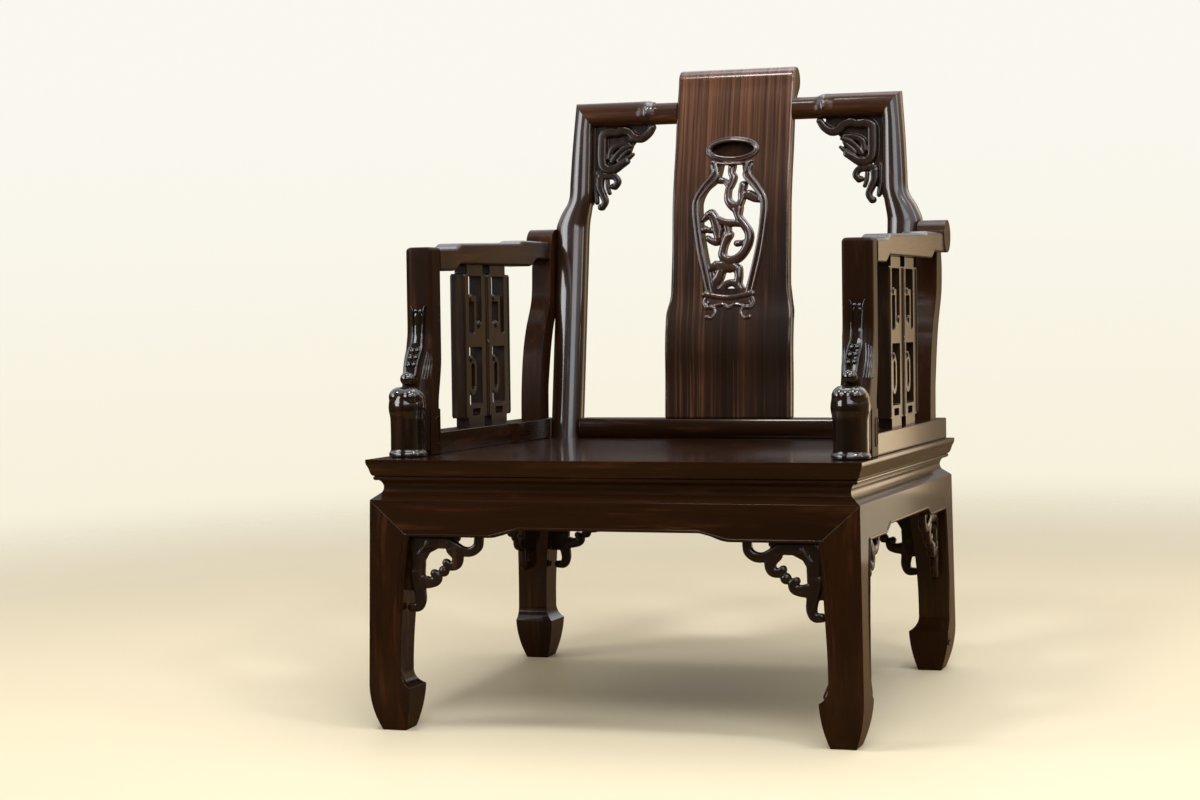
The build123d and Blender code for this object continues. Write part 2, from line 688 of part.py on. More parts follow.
def arm_scroll(sx):
    """An S-curved board that stands on the plinth and rolls back at the top."""
    low = (562, PLINTH_TOP)
    bend = (566, 472)
    rise = (593, 559)
    high = (616, 600)
    neck = (620, 640)
    roll_front = (SCROLL_TOP[0] - SCROLL_ROLL, SCROLL_TOP[1])
    with BuildPart() as scroll:
        with BuildSketch(side_view(sx * SCROLL_INNER)):
            with BuildLine():
                Spline(low, bend, rise, high, neck, roll_front, tangents=[(0, 1), (0.1, 1)])
                Polyline(roll_front, SCROLL_TOP, (neck[0] + SCROLL_DEPTH, neck[1]))
                Spline(
                    (neck[0] + SCROLL_DEPTH, neck[1]),
                    (high[0] + SCROLL_DEPTH, high[1]),
                    (rise[0] + SCROLL_DEPTH, rise[1]),
                    (bend[0] + SCROLL_DEPTH, bend[1]),
                    (low[0] + SCROLL_DEPTH, low[1]),
                    tangents=[(0, -1), (0, -1)],
                )
                Line((low[0] + SCROLL_DEPTH, low[1]), low)
            make_face()
        extrude(amount=sx * (SCROLL_OUTER - SCROLL_INNER))
        with BuildSketch(side_view(sx * SCROLL_INNER)):
            with Locations(SCROLL_TOP):
                Circle(SCROLL_ROLL)
        extrude(amount=sx * (ROLL_OUTER - SCROLL_INNER))
    return scroll


SCROLLS = {sx: arm_scroll(sx) for sx in (-1, 1)}
SCROLL_SHAPES = {sx: piece.part for sx, piece in SCROLLS.items()}

for sx, name in ((-1, "left"), (1, "right")):
    save(arm_post(sx), f"arm_post_{name}")
    rail = arm_rail(sx)
    with rail:
        # the end of the rail is scribed to the scroll
        add(SCROLL_SHAPES[sx], mode=Mode.SUBTRACT)
    save(rail, f"arm_rail_{name}")
    save(arm_fret(sx), f"arm_fret_{name}")
    save(SCROLLS[sx], f"arm_scroll_{name}")


# ---------------------------------------------------------------- back uprights
KNEE = 715
KNEE_OUTER_TOP = 758
KNEE_INNER_TOP = 770
KNEE_FRONT = 641
BACK_FRONT = 656
UPRIGHT_TOP_INNER = 236
UPRIGHT_TOP_OUTER = 266
LEAN = (BACK_FRONT - KNEE_FRONT) / (BACK_TOP - KNEE)
LEAN_DIRECTION = Vector(0, LEAN, 1).normalized()


def upright(sx):
    """An upright that narrows and leans inward above its knee, mitred to the top rail."""
    with BuildPart() as post:
        with BuildSketch(side_view(0)):
            with BuildLine():
                Polyline(
                    (UPRIGHT_FOOT, SEAT_HEIGHT),
                    (KNEE_FRONT, KNEE),
                    (BACK_FRONT, BACK_TOP),
                    (BACK_FRONT + TOP_RAIL_DEPTH, BACK_TOP),
                    (KNEE_FRONT + UPRIGHT_DEPTH, KNEE),
                    (UPRIGHT_FOOT + UPRIGHT_DEPTH, SEAT_HEIGHT),
                    close=True,
                )
            make_face()
        extrude(amount=sx * SEAT_WIDTH)
        with BuildSketch(front_view(0)):
            with BuildLine():
                Line((sx * UPRIGHT_OUTER, SEAT_HEIGHT), (sx * UPRIGHT_OUTER, KNEE - 7))
                Spline(
                    (sx * UPRIGHT_OUTER, KNEE - 7),
                    (sx * (UPRIGHT_TOP_OUTER + 11), KNEE_OUTER_TOP),
                    tangents=[(0, 1), (-sx * 0.12, 1)],
                )
                Line((sx * (UPRIGHT_TOP_OUTER + 11), KNEE_OUTER_TOP), (sx * UPRIGHT_TOP_OUTER, BACK_TOP))
                Line(
                    (sx * UPRIGHT_TOP_OUTER, BACK_TOP),
                    (sx * UPRIGHT_TOP_INNER, BACK_TOP - TOP_RAIL_HEIGHT),
                )
                Line(
                    (sx * UPRIGHT_TOP_INNER, BACK_TOP - TOP_RAIL_HEIGHT),
                    (sx * (UPRIGHT_TOP_INNER + 1), KNEE_INNER_TOP),
                )
                Spline(
                    (sx * (UPRIGHT_TOP_INNER + 1), KNEE_INNER_TOP),
                    (sx * UPRIGHT_INNER, KNEE + 3),
                    tangents=[(0, -1), (0, -1)],
                )
                Line((sx * UPRIGHT_INNER, KNEE + 3), (sx * UPRIGHT_INNER, SEAT_HEIGHT))
                Line((sx * UPRIGHT_INNER, SEAT_HEIGHT), (sx * UPRIGHT_OUTER, SEAT_HEIGHT))
            make_face()
        extrude(amount=-2 * SEAT_DEPTH, mode=Mode.INTERSECT)
        with Locations(
            (sx * UPRIGHT_TENON_PLACE[0], UPRIGHT_TENON_PLACE[1], SEAT_HEIGHT - UPRIGHT_TENON[2] / 2)
        ):
            Box(*UPRIGHT_TENON)
    return post


for sx, name in ((-1, "left"), (1, "right")):
    post = upright(sx)
    with post:
        add(SCROLL_SHAPES[sx], mode=Mode.SUBTRACT)
    save(post, f"back_upright_{name}")


# ---------------------------------------------------------------- splat
SPLAT_SHOULDER = 584
SPLAT_TOP = 970
SPLAT_ROLL_MIDDLE = (694, 939)
VASE_MOUTH = 830
MOUTH_FLOOR = 660
VASE_NECK = 806
VASE_FOOT = 613
TOP_TENON = (14, 8, 20)
TOP_TENON_Y = BACK_FRONT + 16


def vase_opening():
    """The pierced field of the vase: neck, shoulder and body, drawn from the front."""
    with BuildLine() as outline:
        Line((-18, VASE_NECK), (18, VASE_NECK))
        Line((-28, VASE_FOOT), (28, VASE_FOOT))
        for way in (-1, 1):
            Spline(
                (way * 18, VASE_NECK),
                (way * 22, 785),
                (way * 48, 750),
                (way * 52, 725),
                tangents=[(0, -1), (0, -1)],
            )
            Spline(
                (way * 52, 725),
                (way * 47, 680),
                (way * 28, VASE_FOOT),
                tangents=[(0, -1), (-way * 0.3, -1)],
            )
    return outline


with BuildPart() as splat:
    with BuildSketch(side_view(-SPLAT_LOWER)):
        with BuildLine():
            Spline(
                (SPLAT_FOOT, PLINTH_TOP),
                (598, 500),
                (602, 550),
                (618, 596),
                (630, 700),
                (648, 829),
                (SPLAT_ROLL_MIDDLE[0] - SPLAT_ROLL, 935),
                tangents=[(0, 1), (0.1, 1)],
            )
            Polyline((SPLAT_ROLL_MIDDLE[0] - SPLAT_ROLL, 935), SPLAT_ROLL_MIDDLE, (690, 915), (670, 829))
            Spline(
                (670, 829),
                (652, 700),
                (640, 598),
                (626, 550),
                (621, 500),
                (SPLAT_FOOT + SPLAT_THICKNESS, PLINTH_TOP),
                tangents=[(-0.14, -1), (0, -1)],
            )
            Line((SPLAT_FOOT + SPLAT_THICKNESS, PLINTH_TOP), (SPLAT_FOOT, PLINTH_TOP))
        make_face()
        with Locations(SPLAT_ROLL_MIDDLE):
            Circle(SPLAT_ROLL)
    extrude(amount=2 * SPLAT_LOWER)
    with BuildSketch(front_view(0)):
        with BuildLine():
            for way in (-1, 1):
                Line((way * SPLAT_LOWER, PLINTH_TOP), (way * SPLAT_LOWER, SPLAT_SHOULDER - 9))
                Spline(
                    (way * SPLAT_LOWER, SPLAT_SHOULDER - 9),
                    (way * SPLAT_UPPER, SPLAT_SHOULDER + 9),
                    tangents=[(0, 1), (0, 1)],
                )
                Line((way * SPLAT_UPPER, SPLAT_SHOULDER + 9), (way * SPLAT_UPPER, SPLAT_TOP))
            Line((-SPLAT_LOWER, PLINTH_TOP), (SPLAT_LOWER, PLINTH_TOP))
            Line((-SPLAT_UPPER, SPLAT_TOP), (SPLAT_UPPER, SPLAT_TOP))
        make_face()
    extrude(amount=-2 * SEAT_DEPTH, mode=Mode.INTERSECT)
    # the mouth of the vase is a dish, carved into the front and not through the board
    with BuildSketch(front_view(MOUTH_FLOOR)):
        with Locations((0, VASE_MOUTH)):
            Ellipse(36, 11)
    extrude(amount=SEAT_DEPTH / 2, mode=Mode.SUBTRACT)
    # the pierced body, with the coiling branch left standing in it
    with BuildSketch(front_view(0)):
        add(vase_opening().line)
        make_face()
        with BuildLine(mode=Mode.PRIVATE) as branch:
            Spline(
                (-2, VASE_NECK + 4),
                (-5, 765),
                (18, 735),
                (26, 700),
                (14, 665),
                (-12, 662),
                (-14, 690),
                (-30, 712),
                (-54, 700),
            )
        trace(branch.line, line_width=9, mode=Mode.SUBTRACT)
        with BuildLine(mode=Mode.PRIVATE) as stem:
            Spline((14, 665), (10, 640), (-6, 628), (-20, VASE_FOOT - 4))
        trace(stem.line, line_width=8, mode=Mode.SUBTRACT)
    extrude(amount=-2 * SEAT_DEPTH, mode=Mode.SUBTRACT)
    with Locations((0, SPLAT_FOOT + SPLAT_THICKNESS / 2, PLINTH_TOP - SPLAT_FOOT_TENON[2] / 4)):
        Box(SPLAT_FOOT_TENON[0], SPLAT_FOOT_TENON[1], SPLAT_FOOT_TENON[2] / 2)
    # mortises for the two halves of the top rail
    for sx in (-1, 1):
        with Locations((sx * (SPLAT_UPPER - TOP_TENON[0] / 2), TOP_TENON_Y, BACK_TOP - TOP_RAIL_HEIGHT / 2)):
            Box(*TOP_TENON, mode=Mode.SUBTRACT)
save(splat, "splat")


# ---------------------------------------------------------------- top rails
RAIL_SECTION_X = (0, LEAN_DIRECTION.Z, -LEAN_DIRECTION.Y)
RAIL_ROUND = 8
RAIL_SWELL = 2.5
RAIL_INBOARD_DROP = 3
KNUCKLE = 145
KNUCKLE_WIDTH = 24


def rail_plane(x):
    """The plane of the top rail's section at x, from its lower front corner, leaning with the back."""
    corner = Vector(x, BACK_FRONT, BACK_TOP) - LEAN_DIRECTION * TOP_RAIL_HEIGHT
    return Plane(origin=corner, x_dir=RAIL_SECTION_X, z_dir=(1, 0, 0))


def top_rail(sx):
    """Half of the top rail, from its mitre to a tenon in the edge of the splat, with a carved knuckle."""
    middle = (TOP_RAIL_DEPTH / 2, TOP_RAIL_HEIGHT / 2)
    inboard_height = TOP_RAIL_HEIGHT - RAIL_INBOARD_DROP
    knuckle_size = (TOP_RAIL_DEPTH + 2 * RAIL_SWELL, TOP_RAIL_HEIGHT + 2 * RAIL_SWELL)
    with BuildPart() as rail:
        # the stretch beside the splat is a little lower than the rest
        with BuildSketch(rail_plane(sx * SPLAT_UPPER)):
            with Locations((middle[0], inboard_height / 2)):
                RectangleRounded(TOP_RAIL_DEPTH, inboard_height, RAIL_ROUND)
        extrude(amount=sx * (KNUCKLE - SPLAT_UPPER))
        with BuildSketch(rail_plane(sx * KNUCKLE)):
            with Locations(middle):
                RectangleRounded(TOP_RAIL_DEPTH, TOP_RAIL_HEIGHT, RAIL_ROUND)
        extrude(amount=sx * (UPRIGHT_TOP_OUTER - KNUCKLE))
        with BuildSketch(rail_plane(sx * (KNUCKLE - KNUCKLE_WIDTH / 2))):
            with Locations(middle):
                RectangleRounded(*knuckle_size, RAIL_ROUND + RAIL_SWELL)
        extrude(amount=sx * KNUCKLE_WIDTH)
        # the mitre
        with BuildSketch(front_view(0)):
            with BuildLine():
                Polyline(
                    (sx * UPRIGHT_TOP_INNER, 800),
                    (sx * UPRIGHT_TOP_INNER, BACK_TOP - TOP_RAIL_HEIGHT),
                    (sx * UPRIGHT_TOP_OUTER, BACK_TOP),
                    (sx * (UPRIGHT_TOP_OUTER + 40), BACK_TOP),
                    (sx * (UPRIGHT_TOP_OUTER + 40), 800),
                    close=True,
                )
            make_face()
        extrude(amount=-2 * SEAT_DEPTH, mode=Mode.SUBTRACT)
        with Locations((sx * (SPLAT_UPPER - TOP_TENON[0] / 2), TOP_TENON_Y, BACK_TOP - TOP_RAIL_HEIGHT / 2)):
            Box(*TOP_TENON)
    return rail


for sx, name in ((-1, "left"), (1, "right")):
    save(top_rail(sx), f"top_rail_{name}")


# ---------------------------------------------------------------- carved corner pieces of the back
SPANDREL_THICKNESS = 14
SPANDREL_SETBACK = 12


def spandrel(sx):
    """A carved corner piece: a squared scroll over a smaller hanging scroll, pierced in the middle."""
    top = BACK_TOP - TOP_RAIL_HEIGHT
    origin = Vector(0, KNEE_FRONT, KNEE) - Vector(0, -1, LEAN) * SPANDREL_SETBACK
    face = Plane(origin=origin, x_dir=(1, 0, 0), z_dir=(0, -LEAN_DIRECTION.Z, LEAN_DIRECTION.Y))

    def at(u, v):
        """u in from the upright, v down from the rail."""
        return (sx * (UPRIGHT_TOP_INNER - u), top - KNEE - v)

    with BuildPart() as piece:
        with BuildSketch(face):
            with BuildLine():
                Polyline(at(-3, -8), at(94, -8), at(94, 6))
                ThreePointArc(at(94, 6), at(86, 18), at(72, 22))
                ThreePointArc(at(72, 22), at(70, 44), at(56, 52))
                ThreePointArc(at(56, 52), at(40, 66), at(26, 68))
                Line(at(26, 68), at(38, 76))
                ThreePointArc(at(38, 76), at(34, 96), at(18, 96))
                ThreePointArc(at(18, 96), at(24, 122), at(6, 134))
                Polyline(at(6, 134), at(-1, 128), at(-1, 90), at(-3, -8))
            make_face()
            with BuildLine():
                Polyline(at(20, 18), at(44, 18), at(54, 30), at(40, 44), at(22, 50), close=True)
            make_face(mode=Mode.SUBTRACT)
            with BuildLine():
                Polyline(at(16, 78), at(26, 78), at(22, 88), at(12, 92), close=True)
            make_face(mode=Mode.SUBTRACT)
        extrude(amount=-SPANDREL_THICKNESS)
    return piece


for sx, name in ((-1, "left"), (1, "right")):
    piece = spandrel(sx)
    with piece:
        # scribed to the rail and the upright it is glued to
        add(top_rail(sx).part, mode=Mode.SUBTRACT)
        add(upright(sx).part, mode=Mode.SUBTRACT)
    save(piece, f"back_spandrel_{name}")
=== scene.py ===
"""Dresses a low carved hardwood armchair: lacquered frame, scrolled splat, pierced vase and carved brackets.

Shapes are worked out in the chair's own frame, in millimetres: X to the right of a person who faces it, Y back
from the front edge of the seat, Z up square to the seat. PLACE leans them with the seat and makes them metres.
"""

import math

import bmesh
import bpy
import numpy as np
from mathutils import Matrix, Vector


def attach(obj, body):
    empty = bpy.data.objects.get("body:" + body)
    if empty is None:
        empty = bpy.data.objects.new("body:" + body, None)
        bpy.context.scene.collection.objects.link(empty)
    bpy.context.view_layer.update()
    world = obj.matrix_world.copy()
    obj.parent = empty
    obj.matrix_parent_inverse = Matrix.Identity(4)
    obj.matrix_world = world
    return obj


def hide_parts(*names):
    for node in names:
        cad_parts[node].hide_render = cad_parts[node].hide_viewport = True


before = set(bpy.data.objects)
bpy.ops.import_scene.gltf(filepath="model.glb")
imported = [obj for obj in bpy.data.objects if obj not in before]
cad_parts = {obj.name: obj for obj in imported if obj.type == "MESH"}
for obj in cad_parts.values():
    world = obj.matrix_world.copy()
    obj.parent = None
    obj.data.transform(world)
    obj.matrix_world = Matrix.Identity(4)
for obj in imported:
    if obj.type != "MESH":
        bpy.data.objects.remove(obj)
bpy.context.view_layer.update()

# ---- driving dimensions, in millimetres
SEAT_RAKE = math.radians(2.35)
CHAIR_MIDDLE = 378.0
STAND = Matrix.Translation((0, -CHAIR_MIDDLE / 1000, 0)) @ Matrix.Rotation(-SEAT_RAKE, 4, "X")
PLACE = STAND @ Matrix.Scale(0.001, 4)


def chair_points(node):
    """The points of a CAD node's mesh in the chair's own frame, in millimetres."""
    back = PLACE.inverted()
    return np.array([back @ v.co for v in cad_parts[node].data.vertices])


def chair_box(node):
    """The lowest and highest corners of a CAD node in the chair's own frame."""
    points = chair_points(node)
    return points.min(0).tolist(), points.max(0).tolist()


SEAT_CORNER = chair_box("seat_rail_front")[1]
HALF = SEAT_CORNER[0]
SEAT_HEIGHT = SEAT_CORNER[2]
SEAT_DEPTH = chair_box("seat_rail_back")[1][1]
APRON_EDGE = chair_box("apron_front")[0][2]
PLINTH_TOP = chair_box("plinth_back")[1][2]
ARM_OUTER = chair_box("arm_rail_right")[1][0]
BACK_TOP = chair_box("back_upright_right")[1][2]


# ---- shader maths
class Signal:
    """A socket of a material's nodes; arithmetic on it adds the Math nodes."""

    def __init__(self, tree, socket):
        self.tree = tree
        self.socket = socket

    def node(self, kind, settings=None, inputs=None, output=0):
        """Adds one node, with its settings first and then the values or links of its sockets."""
        added = self.tree.nodes.new(kind)
        for key, value in (settings or {}).items():
            setattr(added, key, value)
        fill(added, inputs or {})
        return Signal(self.tree, added.outputs[output])

    def maths(self, operation, *values):
        return self.node("ShaderNodeMath", {"operation": operation}, dict(enumerate(values)))

    def __add__(self, other):
        return self.maths("ADD", self, other)

    def __radd__(self, other):
        return self.maths("ADD", other, self)

    def __sub__(self, other):
        return self.maths("SUBTRACT", self, other)

    def __rsub__(self, other):
        return self.maths("SUBTRACT", other, self)

    def __mul__(self, other):
        return self.maths("MULTIPLY", self, other)

    def __rmul__(self, other):
        return self.maths("MULTIPLY", other, self)

    def __truediv__(self, other):
        return self.maths("DIVIDE", self, other)

    def __pow__(self, other):
        return self.maths("POWER", self, other)

    def between(self, low, high):
        """0 below low, 1 above high and a smooth rise between them."""
        return self.node(
            "ShaderNodeMapRange",
            {"interpolation_type": "SMOOTHSTEP"},
            {"Value": self, "From Min": low, "From Max": high},
        )

    def noise(self, detail, roughness=0.55, distortion=0.0, scale=1.0):
        """Noise laid over this vector."""
        values = {"Detail": detail, "Roughness": roughness, "Distortion": distortion, "Scale": scale}
        return self.node("ShaderNodeTexNoise", None, {"Vector": self, **values})

    def stretched(self, scale):
        """This vector with each part multiplied by its own number."""
        return self.node("ShaderNodeVectorMath", {"operation": "MULTIPLY"}, {0: self, 1: scale})

    def blend(self, first, second):
        """The colour between two, by this value."""
        first, second = (colour if isinstance(colour, Signal) else (*colour, 1) for colour in (first, second))
        return self.node("ShaderNodeMix", {"data_type": "RGBA"}, {0: self, 6: first, 7: second}, output=2)


def new_material(name):
    """An empty node material: its tree, its shader and a signal that starts at the object's coordinates."""
    material = bpy.data.materials.new(name)
    material.use_nodes = True
    tree = material.node_tree
    shader = tree.nodes["Principled BSDF"]
    coordinates = tree.nodes.new("ShaderNodeTexCoord")
    return material, shader, Signal(tree, coordinates.outputs["Object"])


def fill(node, inputs):
    """Sets a node's sockets to their values, or links them where the value is a signal."""
    for key, value in inputs.items():
        if isinstance(value, Signal):
            value.tree.links.new(value.socket, node.inputs[key])
        else:
            node.inputs[key].default_value = value


# ---- finishes
# How fine the pores are across the grain and along it, and how much finer the figure is than the streaks.
PORES_ACROSS = 420.0
PORES_ALONG = 16.0
FIGURE_FINENESS = 2.7


def rosewood(
    name, grain, dark, middle, light, streaks=0.5, shine=0.2, gloss=0.85, roughness=0.36, coat_roughness=0.1,
    coat_index=1.38, stretch=2.2, fineness=26.0, leaning=False, painted_light_heights=None,
):
    """Dark hardwood with its grain along X, Y or Z, under a clear lacquer.

    The streaks are fine across the grain and stretched along it; leaning stretches them along Y too, for a
    board that leans back. Between two given heights, in metres, the wood fades up to its lighter colours: this
    is painted light on the upper part of the board, with painted shade below it.
    """
    material, shader, here = new_material(name)
    along = "XYZ".index(grain)
    across = [fineness] * 3
    across[along] = stretch
    fibres = [PORES_ACROSS] * 3
    fibres[along] = PORES_ALONG
    if leaning:
        across[1] = fibres[1] = stretch
    sweep = here.stretched(across).noise(5.0, 0.6, 0.6)
    figure = here.stretched([a * FIGURE_FINENESS for a in across]).noise(3.0, 0.6, 0.3)
    pores = here.stretched(fibres).noise(2.0, 0.5)
    cloud = here.noise(3.0, scale=5.0)
    streak = sweep.between(0.5 - 0.16 / streaks, 0.5 + 0.2 / streaks)
    wood = streak.blend(dark, middle)
    wood = (figure.between(0.5, 0.74) * cloud.between(0.3, 0.7)).blend(wood, light)
    # Painted light and shade: the wood turns to its lighter colours higher up and stays darker lower down.
    if painted_light_heights:
        height = here.node("ShaderNodeSeparateXYZ", None, {0: here}, output=2)
        painted_upper_colour = figure.between(0.3, 0.7).blend(middle, light)
        wood = (height.between(*painted_light_heights) * (0.45 + cloud * 0.5)).blend(wood, painted_upper_colour)
    pored = (pores.between(0.6, 0.74) * 0.45).blend(wood, [c * 0.3 for c in dark])
    relief = {"Strength": 0.16, "Distance": 0.0003, "Height": figure * 0.6 + pores * 0.4}
    fill(shader, {
        "Base Color": pored,
        "Roughness": roughness + (cloud - 0.5) * 0.16 + (pores - 0.5) * 0.1,
        "Specular IOR Level": shine,
        "Coat Weight": gloss,
        "Coat Roughness": coat_roughness,
        "Coat IOR": coat_index,
        "Normal": here.node("ShaderNodeBump", None, relief),
    })
    return material


BROWN = ((0.012, 0.0046, 0.0014), (0.030, 0.0106, 0.0032), (0.062, 0.0210, 0.0063))
LACQUER = {
    grain: rosewood(
        f"lacquered_rosewood_{grain}", grain,
        (0.012, 0.0046, 0.0014), (0.028, 0.0098, 0.0028), (0.062, 0.0210, 0.0063), shine=0.03,
    )
    for grain in "XYZ"
}
SATIN = rosewood(
    "satin_rosewood", "Z", (0.010, 0.0038, 0.0010), (0.024, 0.0080, 0.0022), (0.058, 0.0195, 0.0056),
    shine=0.05, gloss=0.07, coat_roughness=0.3,
)
POLISHED = rosewood(
    "polished_rosewood", "Z", (0.014, 0.0054, 0.0018), (0.034, 0.0120, 0.0038), (0.078, 0.0275, 0.0090),
    shine=0.05, gloss=0.45, coat_roughness=0.12, coat_index=1.45,
)
BRIGHT = rosewood("bright_rosewood", "Z", *BROWN, gloss=1.0, coat_roughness=0.09, coat_index=1.55)
HANDLED = rosewood("handled_rosewood", "Y", *BROWN, shine=0.1, coat_roughness=0.2)
# A lighter brown for the top rails: painted light, as the rounded rail catches the light from above.
PAINTED_LIGHT_RAIL = rosewood(
    "painted_light_rosewood", "X", (0.022, 0.0078, 0.0026), (0.058, 0.0195, 0.0062), (0.115, 0.0400, 0.0140),
    shine=0.1, gloss=0.5, coat_roughness=0.14,
)
GLAZED = rosewood(
    "glazed_rosewood", "Z", (0.006, 0.0028, 0.0012), (0.013, 0.0052, 0.0020), (0.034, 0.0122, 0.0042),
    shine=0.05, gloss=1.0, coat_roughness=0.05, coat_index=1.6,
)
CARVED = rosewood(
    "carved_rosewood", "Z", (0.010, 0.0050, 0.0026), (0.022, 0.0098, 0.0045), (0.044, 0.0190, 0.0082),
    shine=0.1, gloss=0.75, coat_roughness=0.14,
)
WAXED = rosewood(
    "waxed_rosewood", "Z", (0.020, 0.0080, 0.0040), (0.052, 0.0195, 0.0092), (0.095, 0.0360, 0.0170),
    gloss=1.0, coat_roughness=0.07, coat_index=1.6,
)
# The splat fades to lighter colours towards its top: painted light above, painted shade on its lower part.
FIGURED = rosewood(
    "figured_rosewood", "Z", (0.010, 0.0040, 0.0015), (0.032, 0.0118, 0.0046), (0.185, 0.0755, 0.0370),
    streaks=1.0, shine=0.12, gloss=1.0, coat_roughness=0.16, coat_index=1.46, stretch=0.9, fineness=70.0,
    leaning=True, painted_light_heights=(0.62, 0.90),
)
PLAIN = rosewood(
    "plain_rosewood", "Y", (0.018, 0.0090, 0.0060), (0.036, 0.0180, 0.0110), (0.060, 0.0300, 0.0180),
    gloss=0.0, roughness=0.62,
)


# ---- making pieces
def mesh_from(name, points, faces):
    mesh = bpy.data.meshes.new(name)
    mesh.from_pydata([tuple(p) for p in points], [], faces)
    return mesh


def weld(pieces):
    """Several (points, faces) pairs as one."""
    points = []
    faces = []
    start = 0
    for some_points, some_faces in pieces:
        points.append(np.asarray(some_points, float))
        faces += [tuple(start + i for i in face) for face in some_faces]
        start += len(some_points)
    return np.vstack(points), faces


def linked(name, data):
    """A new object in the scene."""
    thing = bpy.data.objects.new(name, data)
    bpy.context.scene.collection.objects.link(thing)
    return thing


def changed(mesh, *modifiers):
    """A mesh after some modifiers, each a (type, settings) pair."""
    holder = linked("holder", mesh)
    for kind, settings in modifiers:
        modifier = holder.modifiers.new(kind, kind)
        for key, value in settings.items():
            setattr(modifier, key, value)
    bpy.context.view_layer.update()
    result = bpy.data.meshes.new_from_object(holder.evaluated_get(bpy.context.evaluated_depsgraph_get()))
    bpy.data.objects.remove(holder)
    return result


def show(node, part, mesh, material, crease=38):
    """Shows a mesh, already in the row frame, as a part of the dressed CAD node.

    Edges sharper than the crease, in degrees, stay sharp; without one the mesh keeps its own shading.
    """
    piece = linked(f"{node}.{part}", mesh)
    mesh.materials.clear()
    mesh.materials.append(material)
    if crease:
        mesh.shade_smooth()
        mesh.set_sharp_from_angle(angle=math.radians(crease))
    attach(piece, "root")
    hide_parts(node)


DOUBLED = 1e-6
NEARLY_FLAT = math.radians(0.8)


def cleaned(mesh):
    """Outward normals and no doubled points."""
    work = bmesh.new()
    work.from_mesh(mesh)
    bmesh.ops.remove_doubles(work, verts=work.verts, dist=DOUBLED)
    bmesh.ops.recalc_face_normals(work, faces=work.faces)
    work.to_mesh(mesh)
    work.free()
    return mesh


FLAT_FACES = ("WEIGHTED_NORMAL", {"weight": 50, "keep_sharp": True})


def rounded_edges(mesh, edge, angle=28, finish=(FLAT_FACES,)):
    """Rounds edges sharper than the angle, by a width in millimetres; the finish keeps broad faces flat."""
    settings = {
        "width": edge / 1000,
        "segments": 3,
        "limit_method": "ANGLE",
        "angle_limit": math.radians(angle),
        "miter_outer": "MITER_ARC",
        "use_clamp_overlap": True,
    }
    mesh.shade_smooth()
    return changed(mesh, ("BEVEL", settings), *finish)


def true_faces(mesh):
    """Smooth shading that keeps the broad faces flat."""
    mesh.shade_smooth()
    return changed(mesh, FLAT_FACES)


def soften(node, edge, material):
    """Shows a CAD node's own shape with its edges eased, as a hand plane leaves them."""
    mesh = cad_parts[node].data.copy()
    work = bmesh.new()
    work.from_mesh(mesh)
    bmesh.ops.remove_doubles(work, verts=work.verts, dist=2 * DOUBLED)
    bmesh.ops.dissolve_limit(work, angle_limit=NEARLY_FLAT, verts=work.verts, edges=work.edges)
    for line in work.edges:
        line.smooth = True
    work.to_mesh(mesh)
    work.free()
    show(node, "eased", rounded_edges(mesh, edge), material, crease=0)


def around(count):
    """Evenly spaced angles, once round."""
    return np.linspace(0, 2 * math.pi, count, endpoint=False)


def squared_circle(count, power):
    """A circle that a power under 1 draws towards a square: its parts across and up, from -1 to 1."""
    theta = around(count)
    return [np.sign(part) * np.abs(part) ** power for part in (np.cos(theta), np.sin(theta))]


def value_at(line, z):
    """What a line of (height, value) has at a height."""
    return np.interp(z, line[:, 0], line[:, 1])


def runs(*parts):
    """Even runs of numbers, each from a start to an end in so many."""
    return np.concatenate([np.linspace(*part) for part in parts])


def at_height(outline, z):
    """A flat outline of two coordinates, as a ring with a third one."""
    return np.hstack([np.asarray(outline, float), np.full((len(outline), 1), z)])


def loft(rings):
    """A closed skin through rings of equally many points, with flat ends."""
    count = len(rings[0])
    faces = []
    for i in range(len(rings) - 1):
        for j in range(count):
            k = (j + 1) % count
            faces.append((i * count + j, i * count + k, (i + 1) * count + k, (i + 1) * count + j))
    faces.append(tuple(reversed(range(count))))
    faces.append(tuple(range((len(rings) - 1) * count, len(rings) * count)))
    return np.vstack(rings), faces


def placed(shape, name):
    """A mesh in the row frame from the (points, faces) of a shape in the chair's own frame."""
    mesh = mesh_from(name, *shape)
    mesh.transform(PLACE)
    return cleaned(mesh)


def smooth_line(points, step=1.5):
    """Points about a step apart on a smooth line through the given ones."""
    points = np.array(points, float)
    points = np.vstack([2 * points[0] - points[1], points, 2 * points[-1] - points[-2]])
    line = []
    for a, b, c, d in zip(points, points[1:], points[2:], points[3:]):
        count = max(2, math.ceil(float(np.linalg.norm(c - b)) / step))
        t = np.arange(count)[:, None] / count
        bend = 2 * a - 5 * b + 4 * c - d
        twist = 3 * b - a - 3 * c + d
        line.append(0.5 * (2 * b + (c - a) * t + bend * t**2 + twist * t**3))
    line.append(points[-2:-1])
    return np.vstack(line)


# ---- carving: strokes and grounds
STROKE_SIDES = 16
ROUND_END = np.radians([78, 55, 28])


